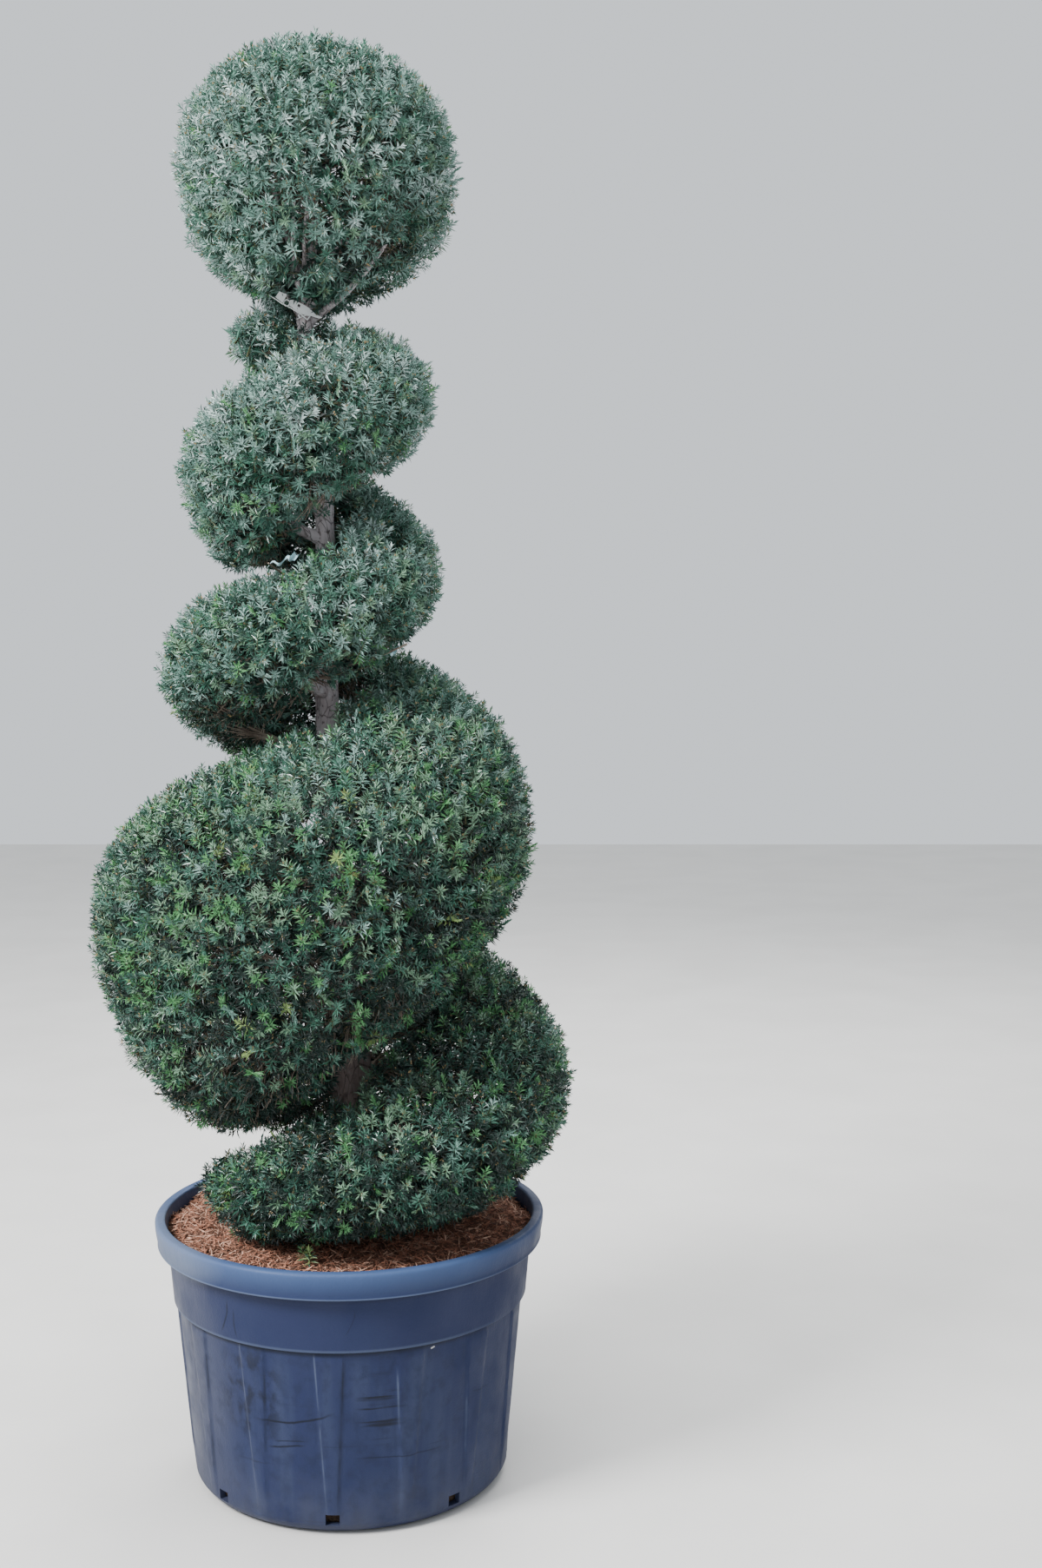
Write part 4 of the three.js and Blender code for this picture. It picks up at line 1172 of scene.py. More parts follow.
# Limbs that show at the ball's foot, from the trunk outwards, each point with its radius.
NECK_LIMBS = (
    ((-0.066, 0.006, 2.116, 0.0066), (-0.024, -0.014, 2.146, 0.0062), (0.012, -0.035, 2.168, 0.0056),
     (0.072, -0.070, 2.228, 0.0038), (0.092, -0.080, 2.260, 0.0024)),
    ((-0.068, 0.000, 2.120, 0.0062), (-0.100, -0.024, 2.170, 0.0046), (-0.133, -0.050, 2.206, 0.0036),
     (-0.150, -0.066, 2.262, 0.0022)),
    ((-0.064, 0.000, 2.150, 0.0056), (-0.076, -0.040, 2.190, 0.0046), (-0.077, -0.110, 2.236, 0.0034),
     (-0.064, -0.175, 2.300, 0.0020)),
    ((-0.062, 0.000, 2.158, 0.0052), (-0.062, -0.044, 2.200, 0.0042), (-0.056, -0.116, 2.246, 0.0030),
     (-0.042, -0.172, 2.308, 0.0018)),
)
# Three orders of twigs: how many for each branch, how deep they end, their steps, their radii at
# both ends, and how far along its parent each starts, as a share of the nearest place.
TWIG_ORDERS = (
    (1, 0.090, 6, 0.0038, 0.0019, 0.7),
    (3, 0.066, 4, 0.0020, 0.0011, 0.55),
    (5, 0.044, 2, 0.0012, 0.0007, 0.6),
)
# How many branches there are, and how far and how evenly a twig keeps to its parent's way.
BRANCH_COUNT = 36
LEAST_BRANCHES = 8
TWIG_KEEPING = 0.45
TWIG_PLAY = 0.05
# Straight starts for branches on the trunk, in one mass and in the ball.
MASS_STUBS = 7
BALL_STUBS = 16


def curve_points(start, bend, end, steps):
    """Points along a quadratic curve."""
    t = np.linspace(0, 1, steps + 1)[:, None]
    return start * (1 - t) ** 2 + 2 * bend * t * (1 - t) + end * t ** 2


def bough(start, end, thick):
    """The path and radii of a bough that sags a little and tapers."""
    bend = (start + end) / 2
    bend[2] -= BOUGH_SAG * np.linalg.norm(end - start)
    radii = thick * np.linspace(1, BOUGH_TAPER, BOUGH_STEPS + 1)
    return curve_points(start, bend, end, BOUGH_STEPS), radii


def spiral_bough(number):
    """The bough in one mass. It ends inside the CAD's own mass, the slimmer of the two."""
    turn = sum(mass_turns(number)) / 2
    inner, reach, widest, top, bottom = section(turn)
    thick = BOUGH_BUTT + BOUGH_GROWTH * reach
    start = trunk_middle(bottom + thick + BOUGH_LIFT + BOUGH_RISE * (widest - bottom))
    reach = inner + BOUGH_DEPTH * (reach - CORE_DEPTH - inner)
    lifted = bottom + UNDER_LIFT * (widest - bottom)
    core = (inner, reach, widest, top - CORE_DEPTH * CORE_TOP_SINK, lifted)
    return bough(start, on_section(core, turn, BOUGH_END), thick)


def ball_bough(number):
    """One of the boughs that fork off the trunk into the ball."""
    turn = FIRST_BALL_BOUGH - 360 / BALL_BOUGHS * number
    start = trunk_middle(BALL_FORK + BALL_FORK_STEP * number)
    return bough(start, on_ball(turn, BALL_BOUGH_END, BALL_BOUGH_INSET), BALL_BOUGH_THICK)


def neck_limb(stations):
    """The path and radii of a limb through its stations, with its corners rounded off."""
    line = resampled(np.array(stations), np.linspace(0, len(stations) - 1, BOUGH_STEPS + 1))
    for _ in range(6):
        line[1:-1] = (line[:-2] + line[1:-1] + line[2:]) / 3
    return line[:, :3], line[:, 3]


def bark_skin(name, path, radii, swell, seed):
    """A limb with the bark's relief in its mesh: long plates, fissures and a few knots."""
    forward = np.gradient(path, axis=0)
    forward /= np.linalg.norm(forward, axis=1, keepdims=True)
    guide = np.where(np.abs(forward[:, 2:3]) > 0.9, (1.0, 0.0, 0.0), (0.0, 0.0, 1.0))
    across = np.cross(forward, guide)
    across /= np.linalg.norm(across, axis=1, keepdims=True)
    up = np.cross(across, forward)
    columns = swell.shape[1]
    angle = circle(columns)[None, :, None]
    around = across[:, None] * np.cos(angle) + up[:, None] * np.sin(angle)
    base = radii[:, None] * swell
    bare = path[:, None] + around * base[..., None]
    long = bare * (1.0, 1.0, 0.28)
    fissures = np.abs(lumps(long * 150, seed + 1) - 0.5) * 2
    knots = np.clip(lumps(bare * 24, seed + 2) - 0.72, 0, 1)
    relief = 0.10 * (lumps(long * 95, seed) - 0.5) - 0.10 * np.exp(-fissures * 9) + 0.55 * knots
    relief += 0.16 * (lumps(bare * (9, 9, 5), seed + 3) - 0.5)
    relief += 0.05 * (lumps(bare * 320, seed + 4) - 0.5)
    points = (path[:, None] + around * (base * (1 + relief))[..., None]).reshape(-1, 3)
    faces = [face[::-1] for face in grid_faces(len(path), columns, True)]
    faces += [range(columns), range(len(points) - 1, len(points) - columns - 1, -1)]
    return smooth_shaded(object_from(name, points, faces), BARK)


def trunk_piece():
    """The trunk from its lobed root flare to its tip."""
    levels = np.linspace(TRUNK[0, 0], TRUNK[-1, 0], TRUNK_RINGS)
    radii = trunk_radius(levels)
    flare = FLARE_RADIUS * np.exp(-(levels - levels[0]) / FLARE_HEIGHT)
    lobing = 1 + FLARE_LOBING * np.cos(FLARE_LOBES * circle(TRUNK_SIDES))
    swell = 1 + flare[:, None] * lobing / radii[:, None]
    return bark_skin("trunk_bark", trunk_middle(levels), radii, swell, 20)


def bough_piece():
    """All boughs and limbs in one piece, each swelling where it leaves the trunk."""
    limbs = [spiral_bough(k) for k in range(TURN_MASSES)]
    limbs += [ball_bough(k) for k in range(BALL_BOUGHS)]
    limbs += [neck_limb(stations) for stations in NECK_LIMBS]
    fine = np.linspace(0, 1, BOUGH_RINGS)
    pieces = []
    for k, (path, radii) in enumerate(limbs):
        steps = np.arange(len(path)) / (len(path) - 1)
        radii = np.interp(fine, steps, radii) * (1 + COLLAR_SWELL * np.exp(-fine * COLLAR_FALL))
        path = resampled(path, fine, steps)
        pieces.append(bark_skin(f"bough_{k}", path, radii, np.ones((1, BOUGH_SIDES)), 40 + 5 * k))
    return joined("bough_bark", pieces)


def tube_group():
    """Turns paths into tubes that follow the radius stored at each point."""
    group = form_group("limb_tubes", Sides=4, Bark="Material")
    thick = group.stored("thick")
    line = group.add("GeometryNodeMeshToCurve", group["Geometry"])
    line = group.add("GeometryNodeSetCurveRadius", line, Radius=thick)
    ring = group.add("GeometryNodeCurvePrimitiveCircle", Resolution=group["Sides"], Radius=1.0)
    tube = group.add("GeometryNodeCurveToMesh", line, Profile_Curve=ring, Fill_Caps=True)
    if "Scale" in tube.socket.node.inputs:
        group.tree.links.new(thick.socket, tube.socket.node.inputs["Scale"])
    return group.finished(group.add("GeometryNodeSetShadeSmooth", tube), "Bark")


TUBES = tube_group()


def tubes(name, paths, material, sides):
    """One object of tubes along paths, each of which comes with the radius at its points."""
    lines, radii = zip(*paths)
    points = np.concatenate(lines)
    ends = np.cumsum([len(line) for line in lines]) - 1
    starts = np.delete(np.arange(len(points)), ends)
    base = object_from(name, points, [], np.stack([starts, starts + 1], axis=1))
    give_values(base, "thick", np.concatenate(radii))
    return grow(base, TUBES, Sides=sides, Bark=material)


def fan_out(targets, parents, random, steps, share):
    """Grows a twig to each target from the nearest parent path, and returns the new paths."""
    tree = KDTree(sum(len(path) for path in parents))
    owners = []
    for path in parents:
        for k, point in enumerate(path):
            tree.insert(point, len(owners))
            owners.append((path, k))
    tree.balance()
    grown = []
    for target in targets:
        path, k = owners[tree.find(target)[1]]
        k = int(np.clip(k * share, 1, len(path) - 2)) if len(path) > 2 else 0
        towards = path[k + 1] - path[k]
        towards = towards / (np.linalg.norm(towards) + 1e-9)
        length = np.linalg.norm(target - path[k])
        bend = path[k] + towards * length * TWIG_KEEPING + random.normal(0, TWIG_PLAY, 3) * length
        grown.append(curve_points(path[k], bend, target, steps))
    return grown


def twig_piece(name, parents, surface_at, size, random):
    """Branches from the boughs and the trunk, twigs from those, and finer twigs to the needles."""
    count = max(int(size * BRANCH_COUNT), LEAST_BRANCHES)
    paths = []
    for times, depth, steps, thick, thin, share in TWIG_ORDERS:
        order = np.arange(count * times)
        across = (order * GOLDEN_SHARE + random.random()) % 1
        targets = surface_at((order + 0.5) / len(order), across, depth)
        parents = fan_out(targets, parents, random, steps, share)
        paths += [(line, np.linspace(thick, thin, steps + 1)) for line in parents]
    return tubes(name, paths, TWIG_BARK, 3)


def trunk_stub(level, turn, rise, reach):
    """A straight start for branches from the trunk. Its turn is in radians."""
    way = np.array((math.cos(turn), math.sin(turn), rise))
    return trunk_middle(level) + way * np.linspace(0, reach, 6)[:, None]


def spiral_twigs(number):
    """The twigs in one mass, grown on from its bough and from the trunk."""
    random = np.random.default_rng(300 + number)
    first, last = mass_turns(number)

    def surface_at(along, across, depth):
        turn = first + (last - first) * along
        slope = -74 + 146 * across
        inner, reach, widest, top, bottom = section(turn)
        depth = np.minimum(depth * np.interp(slope, (-60, -20), (0.30, 1.0)), 0.4 * (reach - inner))
        shape = (inner, reach - depth, widest, top - depth, bottom + 0.7 * depth)
        return departed(on_section(shape, turn, slope), turn, slope)

    inner, reach, widest, top, bottom = section((first + last) / 2)
    parents = [spiral_bough(number)[0][BOUGH_STEPS // 3:]]
    for _ in range(MASS_STUBS):
        turn = random.uniform(first, last)
        level = bottom + (top - bottom) * random.uniform(0.12, 0.85)
        parents.append(trunk_stub(level, math.radians(turn), 0.45, 0.35 * reach))
    size = (reach - inner) * 2.6 * reach * math.radians(last - first) * 0.8
    return twig_piece(f"twigs_{number + 1:02d}", parents, surface_at, size * 5.5, random)


def ball_twigs():
    """The twigs in the ball, grown on from its boughs and from the trunk."""
    def surface_at(along, across, depth):
        slope = np.degrees(np.arcsin(np.clip(0.96 - 1.84 * along, -1, 1)))
        return on_ball(360 * across, slope, depth)

    parents = [ball_bough(k)[0][BOUGH_STEPS // (4 if k else 2):] for k in range(BALL_BOUGHS)]
    parents += [trunk_stub(2.17 + 0.018 * k, 2.4 * k, 0.9, 0.09) for k in range(BALL_STUBS)]
    return twig_piece("ball_twigs", parents, surface_at, 4.6, np.random.default_rng(330))


# The pot, what fills it, and the small things on the plant.

# The mulch's unevenness: height, lumps to a metre and seed.
MULCH_LUMPS = ((0.010, 22, 5), (0.006, 70, 6), (0.004, 190, 7))
MULCH_FINISHES = (
    ("Red", (0.430, 0.198, 0.128), (0.290, 0.122, 0.076)),
    ("Brown", (0.200, 0.100, 0.066), (0.100, 0.052, 0.037)),
    ("Pale", (0.620, 0.400, 0.300), (0.480, 0.260, 0.180)),
)


def arc(middle, radius, first, last, steps):
    """Points on an arc in the profile plane."""
    angles = np.radians(np.linspace(first, last, steps))
    return [(middle[0] + radius * math.cos(a), middle[1] + radius * math.sin(a)) for a in angles]


def pot_profile():
    """The pot's closed profile from the axis below, up the outside and down the inside."""
    lip = RIM_RADIUS - 0.0054
    return np.array([
        (0.0, 0.0),
        (BASE_RADIUS * 0.5, 0.0),
        *arc((BASE_RADIUS, 0.036), 0.036, -90, -20, 12),
        *np.linspace((BASE_RADIUS + 0.036, 0.062), (COLLAR_RADIUS - 0.008, COLLAR_LEVEL - 0.004), 30),
        (COLLAR_RADIUS - 0.0074, COLLAR_LEVEL - 0.0014),
        (COLLAR_RADIUS - 0.0016, COLLAR_LEVEL - 0.0016),
        (COLLAR_RADIUS - 0.0002, COLLAR_LEVEL - 0.0002),
        *np.linspace((COLLAR_RADIUS, COLLAR_LEVEL + 0.002), (COLLAR_RADIUS + 0.009, LIP_LEVEL), 12),
        (COLLAR_RADIUS + 0.011, LIP_LEVEL + 0.030),
        (lip - 0.0040, LIP_LEVEL + 0.028),
        (lip - 0.0036, LIP_LEVEL + 0.001),
        (lip - 0.0020, LIP_LEVEL - 0.0004),
        (lip + 0.0004, LIP_LEVEL),
        (lip + 0.0012, LIP_LEVEL + 0.0014),
        (lip + 0.0004, LIP_LEVEL + 0.0036),
        (lip + 0.0012, LIP_LEVEL + 0.010),
        (lip + 0.0034, LIP_LEVEL + 0.022),
        (RIM_RADIUS - 0.0006, POT_HEIGHT - 0.017),
        (RIM_RADIUS - 0.0002, POT_HEIGHT - 0.010),
        *arc((RIM_RADIUS - 0.0068, POT_HEIGHT - 0.0072), 0.0068, 8, 82, 7),
        *arc((RIM_RADIUS - 0.0150, POT_HEIGHT - 0.0052), 0.0048, 98, 178, 5),
        (RIM_RADIUS - 0.0245, POT_HEIGHT - 0.03),
        (COLLAR_RADIUS - 0.008 - WALL, COLLAR_LEVEL - 0.005),
        (BASE_RADIUS + 0.027 - WALL, 0.025),
        (BASE_RADIUS + 0.008, 0.006),
        (0.0, 0.006),
    ])


def rib_group():
    """Swells broad soft ribs out of a turned wall, fading at both ends."""
    group = form_group(
        "soft_ribs", Ribs=float(RIBS), Rib_Height=RIB_HEIGHT, Head_Width=RIB_HEAD_WIDTH,
        Foot_Width=RIB_FOOT_WIDTH, Edge=RIB_EDGE, First_Rib=0.0, Foot=RIB_FOOT, Head=RIB_HEAD,
        Plastic="Material")
    foot, head, edge = group["Foot"], group["Head"], group["Edge"]
    aside, half, _, level, flat, radius = rib_reach(
        group.add("GeometryNodeInputPosition"), group["First_Rib"], group["Ribs"], foot, head,
        group["Foot_Width"], group["Head_Width"])
    tall = aside.ranged(half + edge, half - edge, interpolation_type="SMOOTHSTEP")
    tall = tall * level.ranged(foot, foot + 0.05, interpolation_type="SMOOTHSTEP")
    tall = tall * level.ranged(head, head - 0.004) * group["Rib_Height"]
    outside = radius.then("GREATER_THAN", RIBBED_FROM)
    offset = group.scaled(flat.then("NORMALIZE"), tall)
    moved = group.add("GeometryNodeSetPosition", group["Geometry"], outside, Offset=offset)
    return group.finished(moved, "Plastic")


def turned(name, profile, columns):
    """A closed solid of revolution from a profile that starts and ends on the axis."""
    angle = circle(columns)
    around = np.stack([np.cos(angle), np.sin(angle)], axis=1)
    rows = profile[1:-1, None]
    levels = np.repeat(rows[..., 1:], columns, axis=1)
    points = np.concatenate([rows[..., :1] * around, levels], axis=2)
    points = np.concatenate([points.reshape(-1, 3), [(0, 0, profile[0, 1]), (0, 0, profile[-1, 1])]])
    faces = [face[::-1] for face in grid_faces(len(rows), columns, True)]
    faces += end_fans(columns, (len(rows) - 1) * columns, len(points) - 2, -1)
    return object_from(name, points, faces)


def drain_cutter():
    """A box for each drain hole."""
    corners = np.array(list(itertools.product((-1, 1), repeat=3))) * np.array(DRAIN_SIZE) / 2
    corners = corners + (BASE_RADIUS + 0.03, 0, DRAIN_LEVEL)
    sides = np.array((
        (0, 1, 3, 2), (4, 6, 7, 5), (0, 4, 5, 1), (2, 3, 7, 6), (0, 2, 6, 4), (1, 5, 7, 3)))
    points = []
    faces = []
    for k in range(DRAIN_HOLES):
        spin = math.radians(FIRST_DRAIN + 360 / DRAIN_HOLES * k)
        across = (math.cos(spin), math.sin(spin), 0)
        faces.extend(sides + len(points))
        points.extend(corners @ np.array((across, (-across[1], across[0], 0), (0, 0, 1))))
    return object_from("drains", points, faces)


def pot_piece():
    """The turned pot with its ribs and its drain holes."""
    made = turned("pot_shell", pot_profile(), POT_COLUMNS)
    grow(made, rib_group(), First_Rib=math.radians(FIRST_DRAIN), Plastic=pot_finish())
    cutter = drain_cutter()
    cut = made.modifiers.new("drain_holes", "BOOLEAN")
    cut.object = cutter
    cut.operation = "DIFFERENCE"
    cut.solver = "EXACT"
    smooth_shaded(settled(made)).data.set_sharp_from_angle(angle=math.radians(38))
    bpy.data.objects.remove(cutter)
    return made


def fibre_stock():
    """Torn strips of bark, each bent along its length."""
    random = np.random.default_rng(12)
    fibres = []
    for k in range(9):
        length = random.uniform(0.012, 0.042)
        width = random.uniform(0.0012, 0.0042)
        bow = random.uniform(-0.12, 0.30)
        points = []
        for station, side in zip(np.linspace(-0.5, 0.5, 4), random.normal(0, 0.06, 4)):
            half = width * (0.5 - 0.35 * abs(station) * 2) * random.uniform(0.7, 1.2)
            height = bow * length * (0.25 - station ** 2)
            lift = random.uniform(-0.3, 0.3) * width
            points.append((station * length, side * length - half, height))
            points.append((station * length, side * length + half, height + lift))
        fibres.append(object_from(f"fibre_{k}", points, [(i, i + 2, i + 3, i + 1) for i in (0, 2, 4)]))
    return stock("fibres", fibres)


def litter_group():
    """Strews strips over a surface, lying almost flat, in three tones dealt out by chance."""
    group = form_group(
        "bark_litter", Strips="Collection", Density=20000.0, Lift=0.002, Tilt=0.5, Seed=3,
        Red="Material", Brown="Material", Pale="Material")
    dealt = group.add("GeometryNodeDistributePointsOnFaces", group["Geometry"],
                      Density=group["Density"], Seed=group["Seed"])
    tilts = [group.chance(-1.0, 1.0, seed) * group["Tilt"] for seed in (4, 5)]
    turn = group.add("ShaderNodeCombineXYZ", *tilts, group.chance(0.0, 6.2832, 6))
    lift = group.add("ShaderNodeCombineXYZ", Z=group["Lift"])
    raised = group.add("GeometryNodeSetPosition", dealt, Offset=lift)
    size = group.chance(0.6, 1.1, 8)
    real = group.dealt_out("Strips", raised, 7, turn, size, group.chance(0.0, 1.0, 9))
    dye_of = group.stored("dye")
    for name, least in (("Red", -1.0), ("Brown", 0.45), ("Pale", 0.82)):
        real = group.dressed(real, dye_of.then("GREATER_THAN", least), name)
    return group.done(real)


def mulch_pieces():
    """The bed of mulch, an uneven disc whose edge dips a little at the pot's wall, and its strips."""
    finishes = {name: mulch_finish(f"mulch_{name.lower()}", *pair) for name, *pair in MULCH_FINISHES}
    rings = np.linspace(0.02, 1.0, MULCH_RINGS)[:, None]
    angle = circle(MULCH_COLUMNS)
    ring = np.stack([np.cos(angle), np.sin(angle), 0 * angle], axis=1)
    top = (rings * MULCH_RADIUS)[..., None] * ring
    rough = sum(height * (lumps(top * scale, seed) - 0.5) for height, scale, seed in MULCH_LUMPS)
    top[..., 2] = MULCH_LEVEL - 0.005 + rough - 0.006 * np.clip(rings * 6 - 5, 0, 1)
    top = top.reshape(-1, 3)
    foot = MULCH_LEVEL - MULCH_DEPTH + 0.001
    skirt = ring * (MULCH_RADIUS - 0.003) + (0, 0, foot)
    points = np.concatenate([top, skirt, [(0, 0, MULCH_LEVEL - 0.003), (0, 0, foot)]])
    faces = grid_faces(MULCH_RINGS + 1, MULCH_COLUMNS, True)
    faces += end_fans(MULCH_COLUMNS, len(top), len(points) - 2, 1)
    bed = smooth_shaded(object_from("mulch_bed", points, faces), finishes["Brown"])
    litter = object_from("mulch_fibres", top, grid_faces(MULCH_RINGS, MULCH_COLUMNS, True))
    grow(litter, litter_group(), Strips=fibre_stock(), Density=38000.0, Lift=0.0022, Tilt=0.45,
         **finishes)
    return bed, litter


# The label's outline in its own plane, along it from its tail and up across it. The body's rows
# give its lower and its upper edge, and the patches are its tab, its knot and its tail.
LABEL_UNIT = 0.00149
LABEL_BODY = (
    (0.0, -0.5, 0.4), (3.0, -2.4, 0.3), (8.5, -3.0, 0.5), (12.1, -3.3, 1.8), (16.5, -5.0, 4.0),
    (25.0, -6.1, 5.2), (27.5, -5.7, 5.4), (30.7, -5.0, 5.5), (36.8, -2.9, 5.5), (40.4, -2.0, 4.0),
)
LABEL_SHARES = (0.0, 0.52, 0.81, 1.0)
LABEL_HOLE = 6
LABEL_PATCHES = (
    ((47.6, -2.9), (57.7, 0.0), (55.8, 8.0), (46.3, 8.3)),
    ((23.4, -10.8), (24.6, -11.2), (26.8, -8.0), (25.6, -7.4)),
    ((-2.4, -1.4), (-1.2, -1.8), (-3.6, 2.2), (-4.8, 1.8)),
)
LABEL_STRAP = ((65.0, -0.6), (48.0, -3.9), (37.0, -4.5), (24.0, -6.6), (14.7, -9.4), (13.6, -4.4))
LABEL_RING = (43.1, -1.0)
LABEL_RING_RADIUS = 3.6
LABEL_TILT = math.radians(22)
LABEL_START = (-0.0350, 2.1270)
LABEL_SWING = 0.30
LABEL_LEVEL = 2.130
LABEL_THICKNESS = 0.0007


def label_piece():
    """A blank loop tag: body with hole and tail, tab, strap and ring, and its band round the neck."""
    middle = trunk_middle(LABEL_LEVEL)
    radius = float(trunk_radius(LABEL_LEVEL)) + 0.0023

    def laid(points):
        """From the label's plane to its place at the neck, its far end swung to the front."""
        along, up = (np.asarray(points, float) * LABEL_UNIT).T
        x = LABEL_START[0] - along * math.cos(LABEL_TILT) + up * math.sin(LABEL_TILT)
        z = LABEL_START[1] + along * math.sin(LABEL_TILT) + up * math.cos(LABEL_TILT)
        y = middle[1] - radius - 0.001 - LABEL_SWING * along + 0.0015 * np.sin(along * 90)
        return np.stack([x, y, z], axis=1)

    rows = [(at, low + (high - low) * share) for share in LABEL_SHARES for at, low, high in LABEL_BODY]
    faces = grid_faces(len(LABEL_SHARES), len(LABEL_BODY), False)
    del faces[len(LABEL_BODY) - 1 + LABEL_HOLE]
    for patch in LABEL_PATCHES:
        faces.append(range(len(rows), len(rows) + 4))
        rows.extend(patch)
    sheet = object_from("label_sheet", laid(rows), faces)
    sheet.modifiers.new("thickness", "SOLIDIFY").thickness = LABEL_THICKNESS
    film = film_finish("white_film", (0.86, 0.88, 0.88), (0.62, 0.62, 0.58))
    settled(sheet).data.materials.append(film)
    angle = np.linspace(0, 2 * np.pi, 33)
    across, up = np.cos(angle), np.sin(angle)
    band = np.stack([radius * across, radius * up, 0.006 * across], axis=1) + middle
    strap = resampled(laid(LABEL_STRAP), np.linspace(0, len(LABEL_STRAP) - 1, 31)) + (0, -0.001, 0)
    ring = laid(LABEL_RING + LABEL_RING_RADIUS * np.stack([across, up], axis=1))
    ring[:, 1] += 0.002 * across - 0.001
    cords = [(band, 0.0011), (strap, 0.0010), (ring, 0.0009)]
    paths = [(line, np.full(len(line), thick)) for line, thick in cords]
    loops = tubes("label_band", paths, film, 6)
    made = smooth_shaded(joined("blank_label", [sheet, loops]))
    made.data.set_sharp_from_angle(angle=math.radians(40))
    return made


# Ends of pale film on stems in the grooves: middle, half length, slant and half width.
TIES = (
    ((-0.096, -0.121, 1.6965), 0.029, 0.30, 0.0028),
    ((-0.080, -0.122, 1.7025), 0.011, 0.15, 0.0066),
    ((0.0976, -0.124, 1.5390), 0.009, 0.80, 0.0062),
)
# The stems that carry them, from the trunk outwards.
TIE_STEMS = np.array([
    ((-0.038, 0.000, 1.640), (-0.122, -0.128, 1.692)),
    ((-0.036, 0.000, 1.500), (0.120, -0.150, 1.552)),
])


def tie_piece():
    """Short ends of pale blue film, crumpled along their length."""
    random = np.random.default_rng(77)
    share = np.linspace(-1, 1, 26)
    pieces = []
    for k, (place, length, slant, wide) in enumerate(TIES):
        rise = length * (slant * share + 0.16 * np.sin(7 * share + k))
        wave = np.stack([length * share, 0.004 * np.sin(5 * share + k), rise], axis=1)
        half = wide * (1.15 - np.abs(share)) * random.uniform(0.7, 1.25, 26)
        fold = np.stack([0.3 * half, 0.8 * half * np.sin(4 * share), half], axis=1)
        points = np.concatenate([wave - fold, wave + fold]) + place
        pieces.append(object_from(f"tie_{k}", points, grid_faces(2, len(share), False)))
    film = film_finish("blue_film", (0.50, 0.74, 0.80), (0.32, 0.46, 0.50))
    return smooth_shaded(joined("film_ties", pieces), film)


def tie_stems():
    """The stems that carry the ends of film."""
    radii = np.linspace(0.0034, 0.0016, 13)
    paths = [
        (curve_points(start, (start + end) / 2 + (0, 0, -0.012), end, 12), radii)
        for start, end in TIE_STEMS
    ]
    return tubes("tie_stems", paths, TWIG_BARK, 6)


# The tuft of short shoots round the neck: level, and how far it reaches from the trunk's middle.
NECK = np.array([
    (2.045, 0.040),
    (2.085, 0.050),
    (2.120, 0.047),
    (2.160, 0.060),
    (2.210, 0.092),
])


def neck_piece():
    """Short shoots that sprout from the trunk between the spiral's end and the ball."""
    levels = np.linspace(NECK[0, 0], NECK[-1, 0], NECK_LEVELS)
    turns = np.linspace(0, 360, NECK_TURNS + 1)[:-1]
    level, turn = crossed(levels, turns)
    points = pushed_out(trunk_middle(level), turn, np.interp(level, *NECK.T))
    faces = [face[::-1] for face in grid_faces(len(levels), len(turns), True)]
    same = np.ones(len(points))
    made = surface_object(
        "neck_needles", points, faces, kept_foliage(points), 0.22 * same, 0.03 * same,
        trunk_middle(level - 0.05), -20 * same)
    return grow(made, COAT, Shoots=OUTER_SHOOTS, Spacing=0.0130, Depth=0.002, Depth_Scatter=0.007,
                Size=0.92, Upturn=0.95, Scatter=0.45, Fresh=1.0, Seed=90, **FOLIAGE)


SPRIG_PLACE = (-0.055, -0.270)
SPRIG_HALF = 0.011


def sprig_piece():
    """A small green sprig that grows from the mulch in front of the trunk."""
    x, y = SPRIG_PLACE
    tips = MULCH_LEVEL + SHOOT_REACH - 0.006
    corners = [
        (x + SPRIG_HALF * a, y + SPRIG_HALF * b, tips) for a, b in ((-1, -1), (1, -1), (1, 1), (-1, 1))
    ]
    patch = object_from("mulch_sprig", corners, [(0, 1, 2, 3)])
    for name, value in (("cover", 1.0), ("sun", 0.1), ("fresh", 0.9), ("growth", (0.0, 0.0, 1.0))):
        give_values(patch, name, [value] * 4)
    return grow(patch, COAT, Shoots=OUTER_SHOOTS, Spacing=0.009, Scatter=0.45, Size=0.95,
                Fresh=3.0, Seed=4, **FOLIAGE)


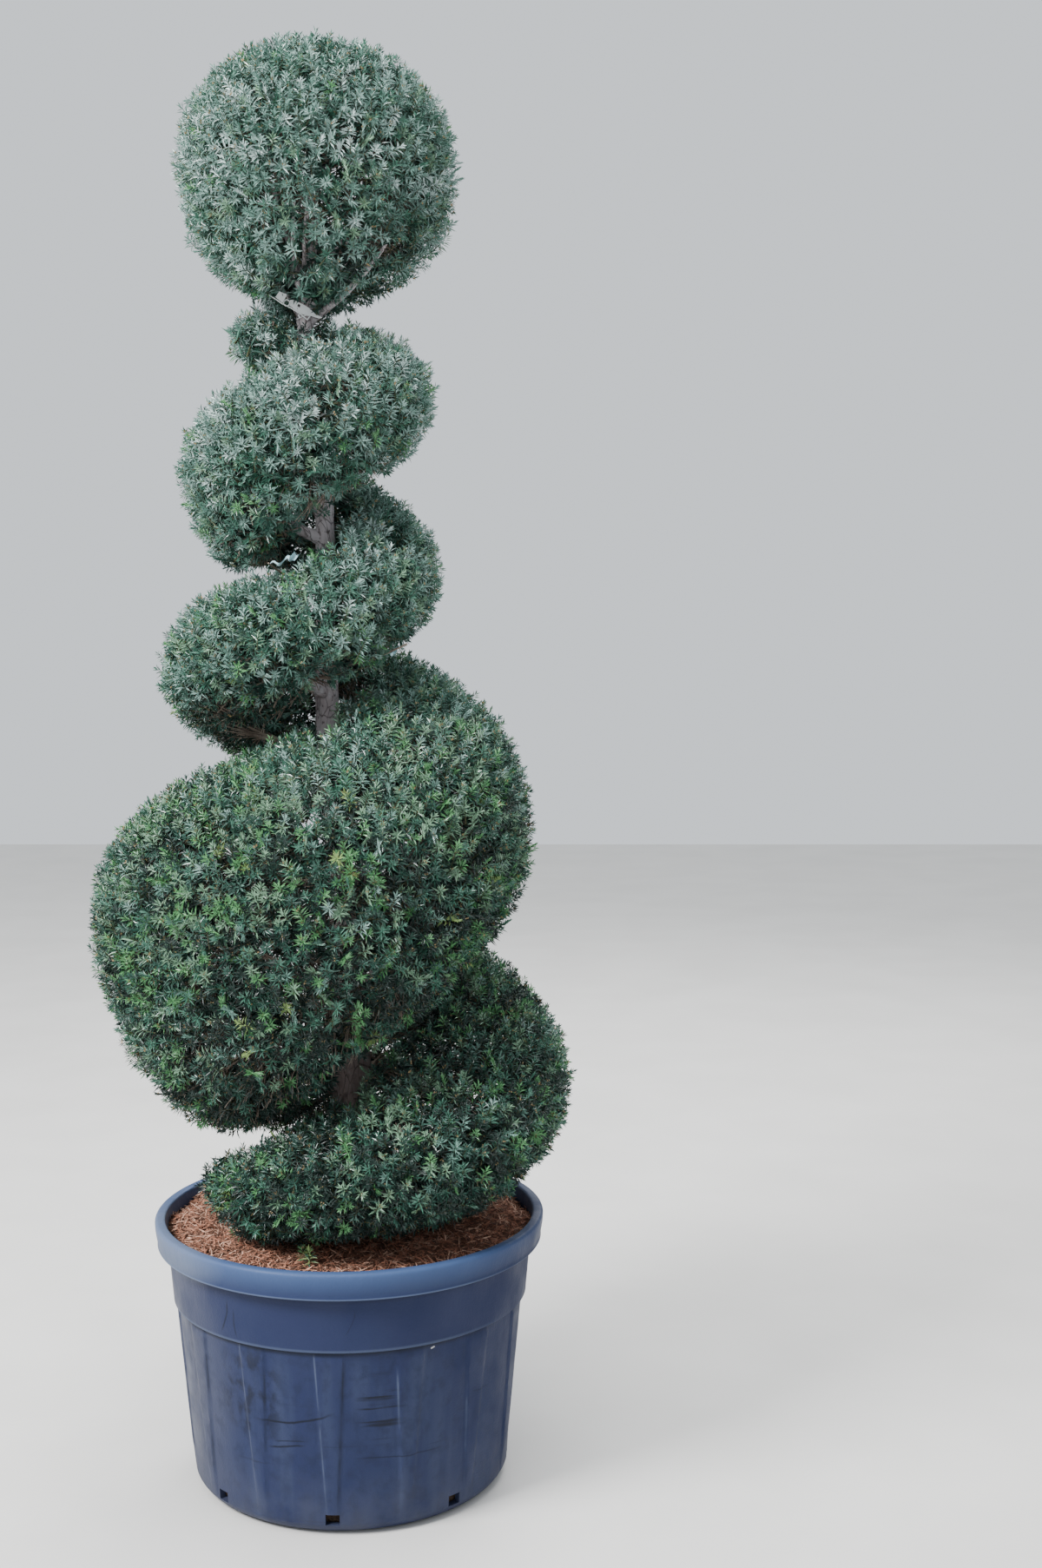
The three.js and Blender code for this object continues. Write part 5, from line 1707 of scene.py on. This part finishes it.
def studio():
    """A pale floor, a soft sky and three broad lights, with the photograph's camera."""
    def placed(name, data, place):
        holder = bpy.data.objects.new(name, data)
        holder.location = place
        bpy.context.scene.collection.objects.link(holder)
        return holder

    floor = object_from("floor", [(-9, -9, 0), (9, -9, 0), (9, 9, 0), (-9, 9, 0)], [(0, 1, 2, 3)])
    pale = Finish("pale_floor", (0.62, 0.61, 0.59), 0.8)
    pale.tint(pale.grain(3.0, 4.0), (0.68, 0.67, 0.65), 0.6)
    floor.data.materials.append(pale.material)
    world = bpy.data.worlds.new("soft_sky")
    world.use_nodes = True
    sky = world.node_tree.nodes["Background"].inputs
    sky["Color"].default_value = (0.90, 0.95, 1.0, 1)
    sky["Strength"].default_value = 1.0
    bpy.context.scene.world = world
    for name, place, size, power in (
        ("key", (-3.4, -2.8, 4.8), 2.0, 740),
        ("top", (0.2, -0.6, 6.0), 3.0, 260),
        ("back", (1.2, 3.8, 4.0), 2.4, 160),
    ):
        light = bpy.data.lights.new(name, "AREA")
        light.energy = power
        light.size = size
        way = Vector((0, 0, 1.3)) - Vector(place)
        placed(name, light, place).rotation_euler = way.to_track_quat("-Z", "Y").to_euler()
    camera = bpy.data.cameras.new("photo_camera")
    camera.sensor_width = SENSOR
    camera.lens = FOCAL_PIXELS / PHOTO_HEIGHT * SENSOR
    holder = placed("photo_camera", camera, CAMERA_PLACE)
    holder.rotation_euler = (math.pi / 2 - CAMERA_PITCH, 0, 0)
    bpy.context.scene.camera = holder


studio()

limb_nodes = [f"bough_{k + 1:02d}" for k in range(TURN_MASSES)]
limb_nodes += [f"ball_bough_{k + 1}" for k in range(BALL_BOUGHS)]
finish_piece(trunk_piece(), "bark", "trunk")
finish_piece(bough_piece(), "bark", *limb_nodes)
for number in range(TURN_MASSES):
    coat = clad(spiral_surface(number), f"needles_{number + 1:02d}", 10 + number)
    finish_piece(coat, "foliage", f"foliage_{number + 1:02d}")
    finish_piece(spiral_twigs(number), "bark")
finish_piece(clad(ball_surface(), "ball_needles", 40), "foliage", "ball_foliage")
finish_piece(ball_twigs(), "bark")
finish_piece(neck_piece(), "foliage")
finish_piece(pot_piece(), "pot", "pot")
mulch_base, mulch_litter = mulch_pieces()
finish_piece(mulch_base, "mulch", "mulch")
finish_piece(mulch_litter, "mulch")
finish_piece(label_piece(), "label", "label")
finish_piece(tie_piece(), "label")
finish_piece(tie_stems(), "bark")
finish_piece(sprig_piece(), "foliage")
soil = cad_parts["soil"]
soil.data.materials.clear()
soil.data.materials.append(mottled_finish(
    "potting_soil", (0.022, 0.014, 0.010), (0.060, 0.040, 0.028), 0.95, 0.2,
    (120.0, 6.0), 0.8, (160.0, 6.0), 0.8, 0.003))
